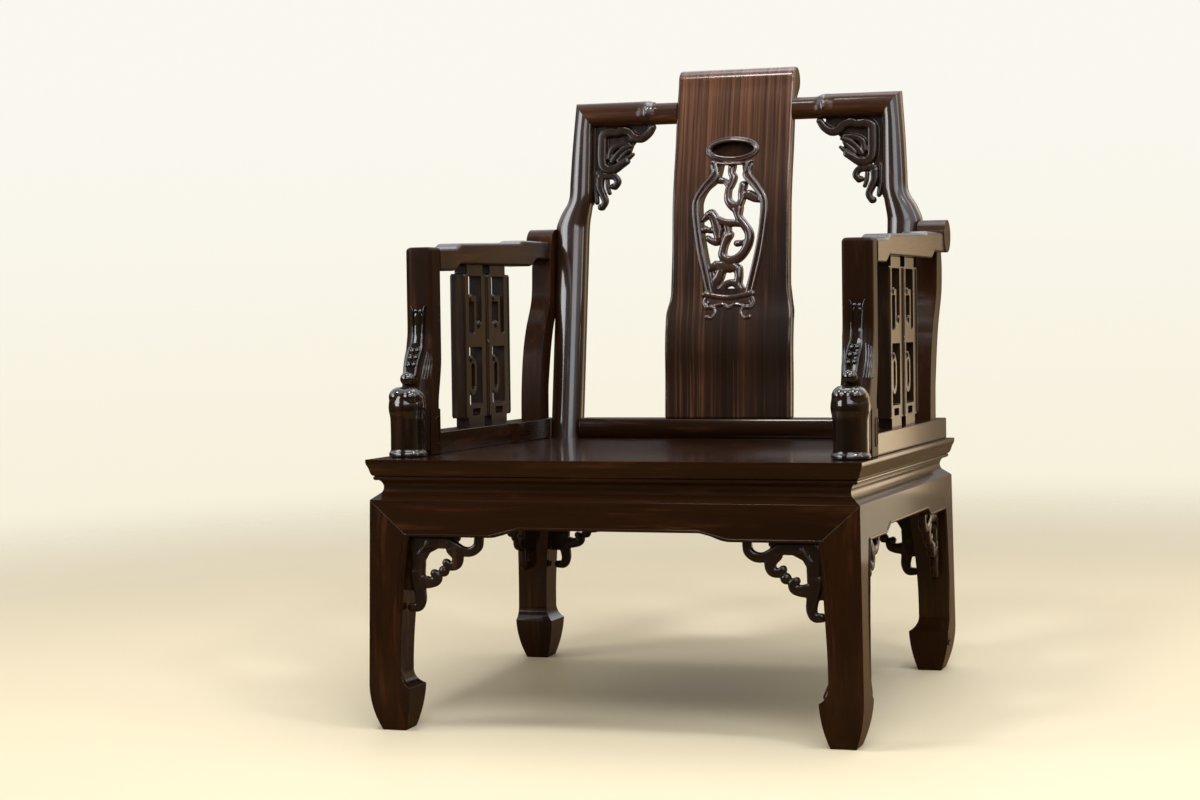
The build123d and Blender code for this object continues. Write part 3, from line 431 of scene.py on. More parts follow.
def stroke(path, width, height, lift=0.0, square=0.8):
    """A rounded ribbon along a path of (u, v), with its half width, half height and lift along the way."""
    line = smooth_line(path)
    run = np.concatenate([[0], np.cumsum(np.linalg.norm(np.diff(line, axis=0), axis=1))])
    run = run / run[-1]

    def along(values):
        values = np.atleast_1d(np.array(values, float))
        return np.interp(run, np.linspace(0, 1, len(values)), values)

    widths, heights, lifts = along(width), along(height), along(lift)
    tangents = np.gradient(line, axis=0)
    tangents /= np.linalg.norm(tangents, axis=1)[:, None]
    sideways, upward = squared_circle(STROKE_SIDES, square)

    def ring(i, push, shrink):
        centre = line[i] + tangents[i] * push
        side = np.array([-tangents[i][1], tangents[i][0]])
        across = sideways[:, None] * side * widths[i] * shrink
        return np.hstack([centre + across, (lifts[i] + upward * heights[i] * shrink)[:, None]])

    ends = [(math.sin(a), math.cos(a)) for a in ROUND_END]
    rings = [ring(0, -push * widths[0], shrink) for push, shrink in ends]
    rings += [ring(i, 0, 1) for i in range(len(line))]
    rings += [ring(-1, push * widths[-1], shrink) for push, shrink in reversed(ends)]
    return loft(rings)


def slab(outline, low, high):
    """A flat ground with a closed outline of (u, v), between two heights."""
    return loft([at_height(outline, h) for h in (low, high)])


def knob(u, v, radius, lift=0.0, rise=1.0):
    """A carved button, with its rise as a share of its radius."""
    theta = around(STROKE_SIDES)
    rings = []
    for a in np.radians(np.linspace(-80, 80, 9)):
        circle = np.stack([np.cos(theta), np.sin(theta)], 1) * radius * math.cos(a) + (u, v)
        rings.append(at_height(circle, lift + radius * rise * math.sin(a)))
    return loft(rings)


def draped(pieces, place):
    """Strokes and grounds moved from their flat (u, v, w) space to the chair by place(u, v, w)."""
    return [(np.stack(place(*np.asarray(points, float).T), 1), faces) for points, faces in pieces]


def carving(pieces, voxel=0.8, rounds=3):
    """Melts strokes and grounds into one carved skin, in metres but still in the space they were drawn in."""
    points, faces = weld(pieces)
    mesh = cleaned(mesh_from("carving", points / 1000, faces))
    return changed(
        mesh,
        ("REMESH", {"mode": "VOXEL", "voxel_size": voxel / 1000, "use_smooth_shade": True}),
        ("SMOOTH", {"factor": 0.5, "iterations": rounds}),
    )


def bend_into_place(mesh, place):
    """Moves a flat carving's points to the chair by place(u, v, w), then to the row frame."""
    flat = np.zeros(len(mesh.vertices) * 3)
    mesh.vertices.foreach_get("co", flat)
    flat = flat.reshape(-1, 3) * 1000
    bent = np.stack(place(flat[:, 0], flat[:, 1], flat[:, 2]), 1)
    mesh.vertices.foreach_set("co", bent.ravel())
    mesh.transform(PLACE)
    return cleaned(mesh)


def rounded_rectangle(a_low, a_high, b_low, b_high, radius, steps=4):
    """The outline of a rectangle with rounded corners, as (a, b) points."""
    corners = (
        (a_high - radius, b_low + radius, -90),
        (a_high - radius, b_high - radius, 0),
        (a_low + radius, b_high - radius, 90),
        (a_low + radius, b_low + radius, 180),
    )
    points = []
    for a, b, turn in corners:
        for angle in np.radians(np.linspace(turn, turn + 90, steps + 1)):
            points.append((a + radius * math.cos(angle), b + radius * math.sin(angle)))
    return np.array(points)


def turned(profile, x, y, sides=56):
    """A turned form from (radius, height) pairs about an upright axis at x, y."""
    theta = around(sides)
    rings = []
    for radius, height in profile:
        circle = np.stack([x + radius * np.cos(theta), y + radius * np.sin(theta)], 1)
        rings.append(at_height(circle, height))
    return loft(rings)


def pebble(centre, radii, sides=24):
    """A smooth egg, by its centre and its three radii."""
    theta = around(sides)
    rings = []
    for a in np.radians(np.linspace(-82, 82, 12)):
        x = centre[0] + radii[0] * math.cos(a) * np.cos(theta)
        y = centre[1] + radii[1] * math.cos(a) * np.sin(theta)
        rings.append(at_height(np.stack([x, y], 1), centre[2] + radii[2] * math.sin(a)))
    return loft(rings)


# ---- parts that keep their drawn shape
def base_and_seat():
    for side, grain in (("front", "X"), ("right", "Y"), ("back", "X"), ("left", "Y")):
        for part, edge in (("seat_rail", 0.8), ("waist", 0.4), ("apron", 0.4)):
            soften(f"{part}_{side}", edge, LACQUER[grain])
    soften("seat_panel", 0.8, LACQUER["Y"])
    for side, grain in (("left", "Y"), ("right", "Y"), ("back", "X")):
        soften(f"plinth_{side}", 1.6, LACQUER[grain])
    for side in ("left", "right"):
        soften(f"arm_scroll_{side}", 1.0, POLISHED)
        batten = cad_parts[f"batten_{side}"].data
        batten.materials.clear()
        batten.materials.append(PLAIN)


# ---- the four sides of the base
# Each side's first corner, its direction, the direction inward and its length.
FACES = {
    "front": ((-HALF, 0), (1, 0), (0, 1), 2 * HALF),
    "right": ((HALF, 0), (0, 1), (-1, 0), SEAT_DEPTH),
    "back": ((HALF, SEAT_DEPTH), (-1, 0), (0, -1), 2 * HALF),
    "left": ((-HALF, SEAT_DEPTH), (0, -1), (1, 0), SEAT_DEPTH),
}
APRON_INSET = 4.0
CUSP_START = 0.256
CUSP_RUN = {"front": 46, "back": 46, "left": 30, "right": 30}
CUSP_RISE = 11.0
LEG_WIDTH = 60.0
BEAD_INSET = 2.4


def on_face(side, depth, from_end=False):
    """Maps (u along a side, v height, w outward) to the chair, on a face set in by depth(v).

    From the end, u runs back from the side's far corner.
    """
    start, along, inward, length = FACES[side]

    def place(u, v, w):
        run = length - u if from_end else u
        inset = depth(v) - w
        return start[0] + along[0] * run + inward[0] * inset, start[1] + along[1] * run + inward[1] * inset, v

    return place


def apron_bead(side):
    """The raised bead that follows the cusped lower edge of an apron."""
    length = FACES[side][3]
    run_in = CUSP_START * length
    run_up = run_in + CUSP_RUN[side]
    low = APRON_EDGE + BEAD_INSET
    high = low + CUSP_RISE
    half = [(LEG_WIDTH - BEAD_INSET, low), (90, low), (run_in - 8, low), (run_in + 4, low + 0.8),
            ((run_in + run_up) / 2, low + CUSP_RISE / 2), (run_up - 4, high - 0.8), (run_up + 8, high),
            (length / 2, high)]
    line = half + [(length - u, v) for u, v in half[-2::-1]]
    bead = draped([stroke(line, 1.7, 1.3)], on_face(side, lambda v: APRON_INSET))
    show(f"apron_{side}", "bead", placed(weld(bead), "bead"), LACQUER["X"])


# ---- legs
# The inner edge of a leg, as its height and its distance from the outer face.
LEG_EDGE = smooth_line([(274, 60), (271, 60), (238, 54.5), (200, 51), (155, 48.6), (110, 48), (88, 48.2)], 3)
# How far the bead lies from that edge, and the fine line from the bead.
BEAD_FROM_EDGE = 2.6
LINE_FROM_BEAD = 4.6
# The small scroll on a hoof: its middle, and how far out and at which angle the bead passes it.
VOLUTE = (46.5, 71.0)
CURL = ((7.4, 0.9), (7, -0.2), (6.2, -1.3), (5.2, -2.5), (3.6, -3.9))


def leg_face(z):
    """How far the outer face of a leg is set in at a height."""
    return np.interp(z, [68, 320], [0.5, 4.0])


def leg(corner, *sides):
    """A hoof-footed leg with a bead down its inner edges that curls up into a small volute on the hoof.

    Each side is a side's name and whether the leg stands at its far end.
    """
    node = f"leg_{corner}"
    soften(node, 0.6, LACQUER["Z"])
    down = [(p - BEAD_FROM_EDGE, z) for z, p in LEG_EDGE[::3]]
    curl = [(VOLUTE[0] + r * math.cos(a), VOLUTE[1] + r * math.sin(a)) for r, a in CURL]
    strokes = [
        stroke(down + curl, 1.6, 1.5, [0, 0, -0.3, -0.7, -1.2, -1.5, -1.5]),
        stroke([(p - LINE_FROM_BEAD, z) for p, z in down], 0.8, 0.8, [0, 0, -0.2, -0.4]),
        knob(*VOLUTE, 3.2, -2.4, 0.7),
    ]
    beads = []
    for side, at_end in sides:
        beads += draped(strokes, on_face(side, leg_face, at_end))
    show(node, "bead", placed(weld(beads), "bead"), LACQUER["Z"])


def legs():
    leg("front_left", ("front", False), ("left", True))
    leg("front_right", ("front", True), ("right", False))
    leg("back_right", ("back", False), ("right", True))
    leg("back_left", ("back", True), ("left", False))


# ---- arm posts
POST_HALF = 21.0
POST_MIDDLE = ARM_OUTER - POST_HALF
DRUM_MIDDLE = 77.0
# The front and the rear of a post, as its height and its distance back.
POST_LINE = smooth_line(
    [(377, 78), (440, 78), (452, 82), (470, 92), (485, 98.5), (500, 104), (525, 112.5), (540, 117.5),
     (556, 120), (600, 120), (672, 120)], 2)
POST_REAR = smooth_line(
    [(377, 145), (443, 145), (460, 146.5), (485, 152.5), (508, 156.6), (530, 157), (672, 157)], 2)
# The rounded top of a post, as its height and how far it is drawn in.
POST_CROWN = ((668.4, 0.4), (670.4, 1.5), (671.5, 3.0), (672, 4.8))
# The turned drum, as its radius and height.
DRUM = ((24, 377), (26.2, 377.3), (27, 379), (27, 382), (26, 384), (24.6, 385), (24.3, 387), (24.1, 410),
        (24.4, 430), (25.2, 436), (26.4, 441), (26.8, 447), (26.4, 452), (25.6, 456), (25, 461), (22.5, 467),
        (17, 471.5), (9, 474), (1, 474.4))
NOSE = 16.0
NOSE_HEIGHTS = (440, 470, 505, 540)
OUTER_CORNER = 13.0
INNER_CORNER = 4.5
HEEL_CORNER = 4.5
STRAP_BEADS = (525.5, 515.5, 505.5)
# The raised block at the foot of a post and the bead on it: front, rear, low and high.
BLOCK = (108, 144.6, 378, 442)
BLOCK_BEAD = (126, 139, 392, 430)
# The two lobes of the cushion and the ball over them: their middle from the post's own, and their radii.
LOBE = (9.4, 72, 461)
LOBE_RADII = (14.8, 20, 14.4)
BALL = (-2.4, 84.5, 486)
BALL_RADII = (10.6, 10.6, 10.2)


def post_front(z):
    return value_at(POST_LINE, z)


def nose(z, corner):
    """How far a front corner of a post is rounded away at a height: sideways and backwards."""
    sideways = np.interp(z, NOSE_HEIGHTS, [7, 12, 10.5, corner])
    backwards = np.interp(z, NOSE_HEIGHTS, [7, 20, 17, corner])
    return sideways, backwards


def post_outline(sign, z, inset=0.0):
    """The section of a post at a height, as points of (x, y)."""
    front = post_front(z) + inset
    rear = value_at(POST_REAR, z) - inset / 2
    half = POST_HALF - inset
    turn = np.radians(np.linspace(0, 90, 9))
    halves = []
    for corner in (OUTER_CORNER, INNER_CORNER):
        sideways, backwards = nose(z, corner)
        across = half - sideways + sideways * np.sin(turn)
        face = np.stack([across, front + backwards * (1 - np.cos(turn))], 1)
        across = half - HEEL_CORNER + HEEL_CORNER * np.cos(turn)
        heel = np.stack([across, rear - HEEL_CORNER + HEEL_CORNER * np.sin(turn)], 1)
        halves.append(np.vstack([face, heel]))
    section = np.vstack([halves[0], halves[1][::-1] * (-1, 1)])
    return section * (sign, 1) + (sign * POST_MIDDLE, 0)


def post_shaft(sign):
    """The post itself: square at its foot, bowed and rounded above the drum, with a softened top."""
    heights = runs((SEAT_HEIGHT, 436, 5), (440, 560, 41), (570, 667, 8))
    rings = [at_height(post_outline(sign, z), z) for z in heights]
    rings += [at_height(post_outline(sign, z, inset), z) for z, inset in POST_CROWN]
    return true_faces(placed(loft(rings), "shaft"))


def strap():
    """The carved strap down the front of a post, with ribs, curls and rows of beads, as (across, height)."""
    pieces = [
        stroke([(0.8, 575), (0.4, 555), (0, 536), (-1.4, 526), (-4.6, 508), (-5.5, 494)],
               [6.6, 6.4, 6.4, 8, 8.4, 8.4], 2.0, 0.0, 0.4),
        stroke([(-7.6, 579), (-7.2, 555), (-7.5, 536), (-9.9, 526), (-12.6, 508), (-12.6, 490)], 1.6, 2.6, 1.4),
        stroke([(9.2, 579), (7.7, 555), (7.5, 536), (7.9, 526), (4.6, 506), (3.2, 490)], 1.6, 2.6, 1.4),
        stroke([(-7.6, 575), (-7.8, 582), (-9.2, 588)], [2.0, 1.8, 1.0], 2.6, 1.4),
        stroke([(9.0, 575), (9.4, 582), (11.2, 588)], [2.0, 1.8, 1.0], 2.6, 1.4),
        knob(-2.6, 581.5, 3.3, 1.8, 0.9),
        knob(4.2, 581, 3.3, 1.8, 0.9),
    ]
    for row, z in enumerate(STRAP_BEADS):
        shift = -1.5 * row
        cord = [(-7 + shift, z + 4.4), (-1.4 + shift, z + 2.2), (4.6 + shift, z + 4.8)]
        beads = [knob(-5.2 + shift, z, 3.3, 3.2), knob(2.4 + shift, z + 0.6, 3.3, 3.2)]
        pieces += [*beads, stroke(cord, 0.9, 2, 2.6)]
    return pieces


def fan(middle, way, outside):
    """The ridges that run down round a front corner of a post."""
    corner, count, sunk = (OUTER_CORNER, 6, 0) if outside else (INNER_CORNER, 4, 0.7)

    def on_nose(u, v, w):
        """u runs round the rounded corner, from the front of the post to its side and along that."""
        sideways, backwards = nose(v, corner)
        turn = np.clip(u / NOSE, 0, 1) * math.pi / 2
        out = np.stack([backwards * np.sin(turn), sideways * np.cos(turn)])
        out = out / np.linalg.norm(out, axis=0)
        x = POST_HALF - sideways + sideways * np.sin(turn) + w * out[0]
        y = post_front(v) + backwards * (1 - np.cos(turn)) - w * out[1] + np.maximum(u - NOSE, 0)
        return middle + way * x, y, v

    ridges = []
    for k in range(count):
        top = 3.4 + 3.3 * k
        path = [(top, 530 - 2 * k), (top + 0.6, 515 - 2 * k), (top, 500 - 1.5 * k), (top - 1, 484)]
        ridges.append(stroke(path, [0.9, 1.5, 1.6, 1.0], 1.9, np.array([-1.6, -0.6, -0.6, -1.2]) - sunk))
    return draped(ridges, on_nose)


def foot_block(middle, way):
    """The raised block on a side of a post's foot, with a bead that frames it."""
    bead = rounded_rectangle(*BLOCK_BEAD, 5)
    pieces = [
        slab(rounded_rectangle(*BLOCK, 2), -3, 1.0),
        stroke(np.vstack([bead[::2], bead[:1]]), 1.1, 1.0, 1.0),
    ]
    return draped(pieces, lambda u, v, w: (middle + way * (POST_HALF + w), u, v))


def arm_post(side, sign):
    """A square post that bows forward into a carved console: strap, beads, ball, cushion and drum."""
    middle = sign * POST_MIDDLE
    node = f"arm_post_{side}"
    show(node, "shaft", post_shaft(sign), SATIN, crease=0)
    console = draped(strap(), lambda u, v, w: (middle + u, post_front(v) - w, v))
    cushion = [turned(DRUM, middle, DRUM_MIDDLE)]
    blocks = []
    for way in (-1, 1):
        console += fan(middle, way, way == sign)
        blocks += foot_block(middle, way)
        cushion.append(pebble((middle + way * LOBE[0], *LOBE[1:]), LOBE_RADII))
    ball = pebble((middle + BALL[0], *BALL[1:]), BALL_RADII)
    show(node, "console", placed(weld([*console, ball]), "console"), GLAZED)
    show(node, "block", placed(weld(blocks), "block"), SATIN)
    drum = carving(cushion, 1.0, 16)
    drum.transform(STAND)
    show(node, "drum", cleaned(drum), GLAZED)


# ---- arm rails
# The underside and the top of a rail, as its distance back and its height, and where its sections stand.
RAIL_LOW = ((150, 639), (213, 639), (245, 650), (534, 650), (564, 661), (645, 661))
RAIL_HIGH = ((150, 672), (222, 674), (248, 681), (484, 687), (508, 691), (645, 691))
RAIL_SECTIONS = np.concatenate([
    [157.2], np.arange(162, 208, 8), np.arange(211, 256, 3), np.arange(268, 480, 15), np.arange(482, 512, 3),
    np.arange(518, 532, 7), np.arange(534, 615, 3), [640]])
SHORT_STEP = 40
ROLL_MIDDLE = (650.0, 686.0)
ROLL_RADIUS = 25.0


def eased_steps(y, corners):
    """A height that moves from each corner to the next, smoothly where the two are a short step apart."""
    for (y_from, z_from), (y_to, z_to) in zip(corners, corners[1:]):
        if y <= y_to:
            t = (y - y_from) / (y_to - y_from)
            if y_to - y_from < SHORT_STEP:
                t = t * t * (3 - 2 * t)
            return z_from + (z_to - z_from) * t
    return corners[-1][1]


def arm_rail(side):
    """A rail that steps up twice on its way back to the roll of the scroll, with well rounded upper edges."""
    node = f"arm_rail_{side}"
    low, high = chair_box(node)
    left, right = low[0], high[0]
    rings = []
    for y in RAIL_SECTIONS:
        under, top = eased_steps(y, RAIL_LOW), eased_steps(y, RAIL_HIGH)
        outline = rounded_rectangle(left, right, under, top, 4.5)
        across = (outline[:, 0] - (left + right) / 2) / ((right - left) / 2)
        crown = np.where(outline[:, 1] > (under + top) / 2, 1.6 * across**2, 0)
        heights = outline[:, 1] - crown
        roll = ROLL_MIDDLE[0] - np.sqrt(np.maximum(ROLL_RADIUS**2 - (heights - ROLL_MIDDLE[1]) ** 2, 0))
        rings.append(np.stack([outline[:, 0], np.minimum(y, roll - 0.1), heights], 1))
    show(node, "shaped", true_faces(placed(loft(rings), "rail")), HANDLED, crease=0)


# ---- pierced arm panels
# The beads along the columns: their distance from the edge, and their foot, middle and head.
COLUMN_BEAD = 3.4
COLUMN_LINE = (425, 532, 633)


def arm_fret(side):
    """The two-column pierced panel under an arm, with worn edges and beads along its columns."""
    node = f"arm_fret_{side}"
    low, high = chair_box(node)
    middle = (low[1] + high[1]) / 2
    column = (high[1] - low[1]) / 2
    lines = [knob(middle, COLUMN_LINE[1], 5.0, -0.6, 0.8)]
    for way in (-1, 1):
        centre = middle + way * column / 2
        for edge in (centre - column / 2 + COLUMN_BEAD, centre + column / 2 - COLUMN_BEAD):
            lines.append(stroke([(edge, z) for z in COLUMN_LINE], 2.0, 2.0, 0.2))
        lines += [
            knob(centre - way * 12, 561, 6.0, -0.4, 0.6),
            knob(centre - 21, 510, 5.0, -0.6, 0.7),
            knob(centre - 20, 601, 5.6, -0.6, 0.6),
        ]
    pieces = [(chair_points(node), [tuple(face.vertices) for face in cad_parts[node].data.polygons])]
    for x, out in ((low[0], -1), (high[0], 1)):
        pieces += draped(lines, lambda u, v, w, x=x, out=out: (x + out * w, u, v))
    mesh = carving(pieces, 1.0)
    mesh.transform(STAND)
    show(node, "carved", cleaned(mesh), CARVED)


# ---- back frame
KNEE = 715.0
UPRIGHT_FOOT = 596.0
KNEE_FRONT = 641.0
BACK_FRONT = 656.0
FOOT_DEPTH = 42.0
RAIL_DEPTH = 36.0
RAIL_HEIGHT = 38.0
RAIL_UNDER = BACK_TOP - RAIL_HEIGHT
MITRE_INNER = 236.0
MITRE_OUTER = 266.0
# The well rounded section of the frame.
ACROSS, DEEP = squared_circle(48, 0.85)
# The outer and the inner edge of an upright, as its height and its distance from the middle.
UPRIGHT_OUTER = smooth_line(
    [(SEAT_HEIGHT, 297), (500, 297), (640, 297), (700, 298.6), (716, 298.4), (736, 290), (758, 277.5),
     (790, 275), (840, 272), (BACK_TOP, MITRE_OUTER), (BACK_TOP + 40, 262)])
UPRIGHT_INNER = smooth_line(
    [(SEAT_HEIGHT, 245), (500, 245), (640, 245), (706, 245), (722, 244), (742, 240.5), (764, 237.4),
     (800, 236.6), (RAIL_UNDER, MITRE_INNER), (BACK_TOP + 40, MITRE_INNER)])


def back_line(z):
    """The front of the back frame at a height."""
    return np.interp(z, [SEAT_HEIGHT, KNEE, BACK_TOP], [UPRIGHT_FOOT, KNEE_FRONT, BACK_FRONT])


def mitre_height(x):
    """The height of the mitre plane between an upright and the top rail."""
    return RAIL_UNDER + (np.abs(x) - MITRE_INNER) * RAIL_HEIGHT / (MITRE_OUTER - MITRE_INNER)


def frame_ring(sign, x, z, depth, middle=RAIL_DEPTH / 2):
    """A section of the frame, at its x and z, with its middle this far behind the front of the frame."""
    y = back_line(z) + middle + DEEP * depth / 2
    return np.stack(np.broadcast_arrays(sign * x, y, z), 1)


def upright(side, sign):
    """An upright with rounded corners that narrows above its knee."""
    rings = []
    for z in runs((SEAT_HEIGHT, 690, 30), (695, 775, 24), (785, 868, 9)):
        low = value_at(UPRIGHT_INNER, z)
        high = value_at(UPRIGHT_OUTER, z)
        depth = np.interp(z, [KNEE, KNEE + 50], [FOOT_DEPTH, RAIL_DEPTH])
        rings.append(frame_ring(sign, (low + high) / 2 + ACROSS * (high - low) / 2, z, depth, depth / 2))
    x = (MITRE_INNER + MITRE_OUTER) / 2 + ACROSS * (MITRE_OUTER - MITRE_INNER) / 2
    rings.append(frame_ring(sign, x, mitre_height(x), RAIL_DEPTH))
    node = f"back_upright_{side}"
    show(node, "shaped", placed(loft(rings), node), BRIGHT)


# The ring on each half of the top rail, and how much lower the rail is between it and the splat.
RING_MIDDLE = 145.0
RING_REACH = 8.5
RING_SWELL = 9.0
RAIL_DROP = 3.6
RAIL_END = 94.6


def ring_swell(x):
    """How much of its swelling the ring has at this distance from the middle of the chair."""
    return math.exp(-(((x - RING_MIDDLE) / RING_REACH) ** 2))


def top_rail(side, sign):
    """Half of the top rail, round in section, with a swelling ring and a bright knuckle over it."""
    node = f"top_rail_{side}"
    height = (ACROSS + 1) / 2
    mitre = MITRE_INNER + height * (MITRE_OUTER - MITRE_INNER)
    rings = [frame_ring(sign, mitre, RAIL_UNDER + height * RAIL_HEIGHT, RAIL_DEPTH)]
    for x in runs((230, 165, 8), (162, 128, 30), (124, RAIL_END, 6)):
        ring = ring_swell(x)
        drop = RAIL_DROP * (1 - 1 / (1 + math.exp((RING_MIDDLE - 4 - x) / 2.4)))
        top = BACK_TOP - drop + 0.5 * ring
        low = RAIL_UNDER - 0.4 * ring
        depth = RAIL_DEPTH + RING_SWELL * ring - drop * 0.8
        rings.append(frame_ring(sign, x, low + height * (top - low), depth))
    show(node, "shaped", placed(loft(rings), node), PAINTED_LIGHT_RAIL)
    knuckle = []
    for x in np.linspace(RING_MIDDLE + 10, RING_MIDDLE - 10, 41):
        ring = ring_swell(x)
        proud = 2.4 * ring - 1.0
        low = RAIL_UNDER - 0.4 * ring - proud * 0.4
        z = low + height * (BACK_TOP - 2.2 + 2.0 * ring + proud * 0.4 - low)
        knuckle.append(frame_ring(sign, x, z, RAIL_DEPTH + RING_SWELL * ring - 2.4 + proud * 2))
    show(node, "knuckle", placed(loft(knuckle), "knuckle"), BRIGHT)


# ---- splat
# The front of the splat, as its height and its distance back, and its edge, as its height and half width.
SPLAT_FRONT = smooth_line(
    [(408, 600), (430, 601), (469, 603), (520, 603.5), (560, 609), (594, 618.6), (640, 623), (690, 627),
     (745, 631), (790, 639.5), (829, 649), (870, 657), (905, 664.5), (925, 670), (937, 673)], 3.0)
SPLAT_EDGE = np.array(
    [(PLINTH_TOP, 102), (570, 102), (577, 101.4), (585, 99.6), (593, 97.6), (602, 96), (612, 95.2),
     (624, 94.8), (970, 94.8)])
SPLAT_ROLL = (694.0, 939.0)
SPLAT_ROLL_RADIUS = 21.0
SPLAT_THICKNESS = 22.0
FRONT_MEETS_ROLL = 934
BACK_MEETS_ROLL = 905
BEFORE_SPLAT = 540.0
BEHIND_SPLAT = 720.0
MOUTH_HEIGHT = 830.5
MOUTH_FLOOR = 667.0
BRANCH_LIFT = -10.0
# The two ribbons beside the opening of the vase, and a foot of its stand, on the right.
VASE_INNER = np.array([(27, 809), (23, 796), (22.5, 786), (38, 769), (50, 752), (52, 736), (49.5, 705),
                       (44, 672), (36, 636), (29.5, 605)])
VASE_OUTER = np.array([(33, 805), (30.5, 792), (46, 772), (57.5, 752), (59.5, 732), (56, 700), (50.5, 665),
                       (43, 632), (36.5, 605)])
VASE_FOOT = np.array([(35, 600), (40, 590), (36, 582), (25, 581), (21, 574), (27, 565), (35, 567)])


def splat_front(z):
    """The front surface of the splat at a height."""
    return value_at(SPLAT_FRONT, z)


def on_splat(u, v, w):
    """Maps (u across, v height, w forward) to the front of the splat."""
    return u, splat_front(v) - w, v


def splat_board():
    """The S-curved board with its rolled top."""
    heights = np.arange(PLINTH_TOP, FRONT_MEETS_ROLL, 4)
    front = [(splat_front(z), z) for z in heights]
    roll = [
        (SPLAT_ROLL[0] - SPLAT_ROLL_RADIUS * math.cos(a), SPLAT_ROLL[1] + SPLAT_ROLL_RADIUS * math.sin(a))
        for a in np.radians(np.arange(2, 236, 9))
    ]
    back = [(splat_front(z) + SPLAT_THICKNESS, z) for z in heights[::-1] if z < BACK_MEETS_ROLL]
    loop = np.array(front + roll + back)
    half_widths = value_at(SPLAT_EDGE, loop[:, 1])
    rings = []
    for side in (-1, -0.95, -0.78, -0.4, 0, 0.4, 0.78, 0.95, 1):
        rings.append(np.stack([side * half_widths, loop[:, 0], loop[:, 1]], 1))
    return rounded_edges(placed(loft(rings), "splat"), 2.2, 60, ())


def vase_outline():
    """The pierced body of the vase, as (x, z)."""
    left = smooth_line(
        [(-17, 806), (-20, 790), (-24, 780), (-40, 766), (-48, 750), (-49, 735), (-46, 700), (-40, 665),
         (-32, 632), (-26.5, 611)], 3)
    return np.vstack([left, left[::-1] * (-1, 1)])


def mouth_ring(width, height, angles):
    """An ellipse about the mouth of the vase, as (x, z)."""
    return [(width * math.cos(a), MOUTH_HEIGHT + height * math.sin(a)) for a in angles]


def pierce(mesh, outline, floor=BEHIND_SPLAT):
    """Cuts an outline of (x, z) from the front of a board back to a floor, which may lie behind the board."""
    rings = [at_height(outline, y)[:, [0, 2, 1]] for y in (BEFORE_SPLAT, floor)]
    cutter = linked("cutter", placed(loft(rings), "cutter"))
    result = changed(mesh, ("BOOLEAN", {"operation": "DIFFERENCE", "object": cutter, "solver": "EXACT"}))
    bpy.data.objects.remove(cutter)
    return result


def vase():
    """The ribbons of the vase and its mouth, its stand and the branch that fills it, as (across, height)."""
    closed = np.linspace(0, 2 * math.pi, 28)
    relief = [
        stroke(mouth_ring(37.5, 14, closed), 2.6, 3.4, 0.6),
        stroke(mouth_ring(42, 18.2, closed), 2.0, 2.6, 0.2),
        stroke([(-33, 811), (-14, 807.5), (14, 807.5), (33, 811)], 2.2, 3.0, 0.4),
        stroke([(-41, 602), (0, 597), (38, 603)], 4.2, 4.0, 0.4),
    ]
    for way in ((-1, 1), (1, 1)):
        relief += [
            stroke(VASE_INNER * way, 2.8, 3.6, 0.4),
            stroke(VASE_OUTER * way, 2.6, 3.2, 0.4),
            stroke(VASE_FOOT * way, [4, 3.4, 3.2, 3, 2.6, 2.4, 3.4], [3.4, 3, 3, 3, 2.6, 2.4, 3]),
        ]
    relief += [
        stroke([(-22, 584), (-10, 586), (0, 581), (10, 586), (22, 584)], 2.4, 2.6, 0.2),
        stroke([(-31, 592), (0, 591), (31, 592)], 6.5, 2.0),
    ]
    return relief + branch()


def splat():
    """The board, its pierced vase, and a dark slab set into the vase's mouth as painted shade."""
    board = pierce(splat_board(), vase_outline())
    board = pierce(board, mouth_ring(34.5, 11.5, around(40)), MOUTH_FLOOR)
    show("splat", "board", board, FIGURED, crease=34)
    # A dark slab in the recess of the mouth: painted shade, standing in for the shade that falls in the recess.
    painted_shade_slab = draped([slab(mouth_ring(33, 10.4, around(40)), -17, -9)], on_splat)
    show("splat", "mouth", placed(weld(painted_shade_slab), "mouth"), SATIN)
    show("splat", "vase", bend_into_place(carving(vase(), 0.9, 2), on_splat), WAXED)


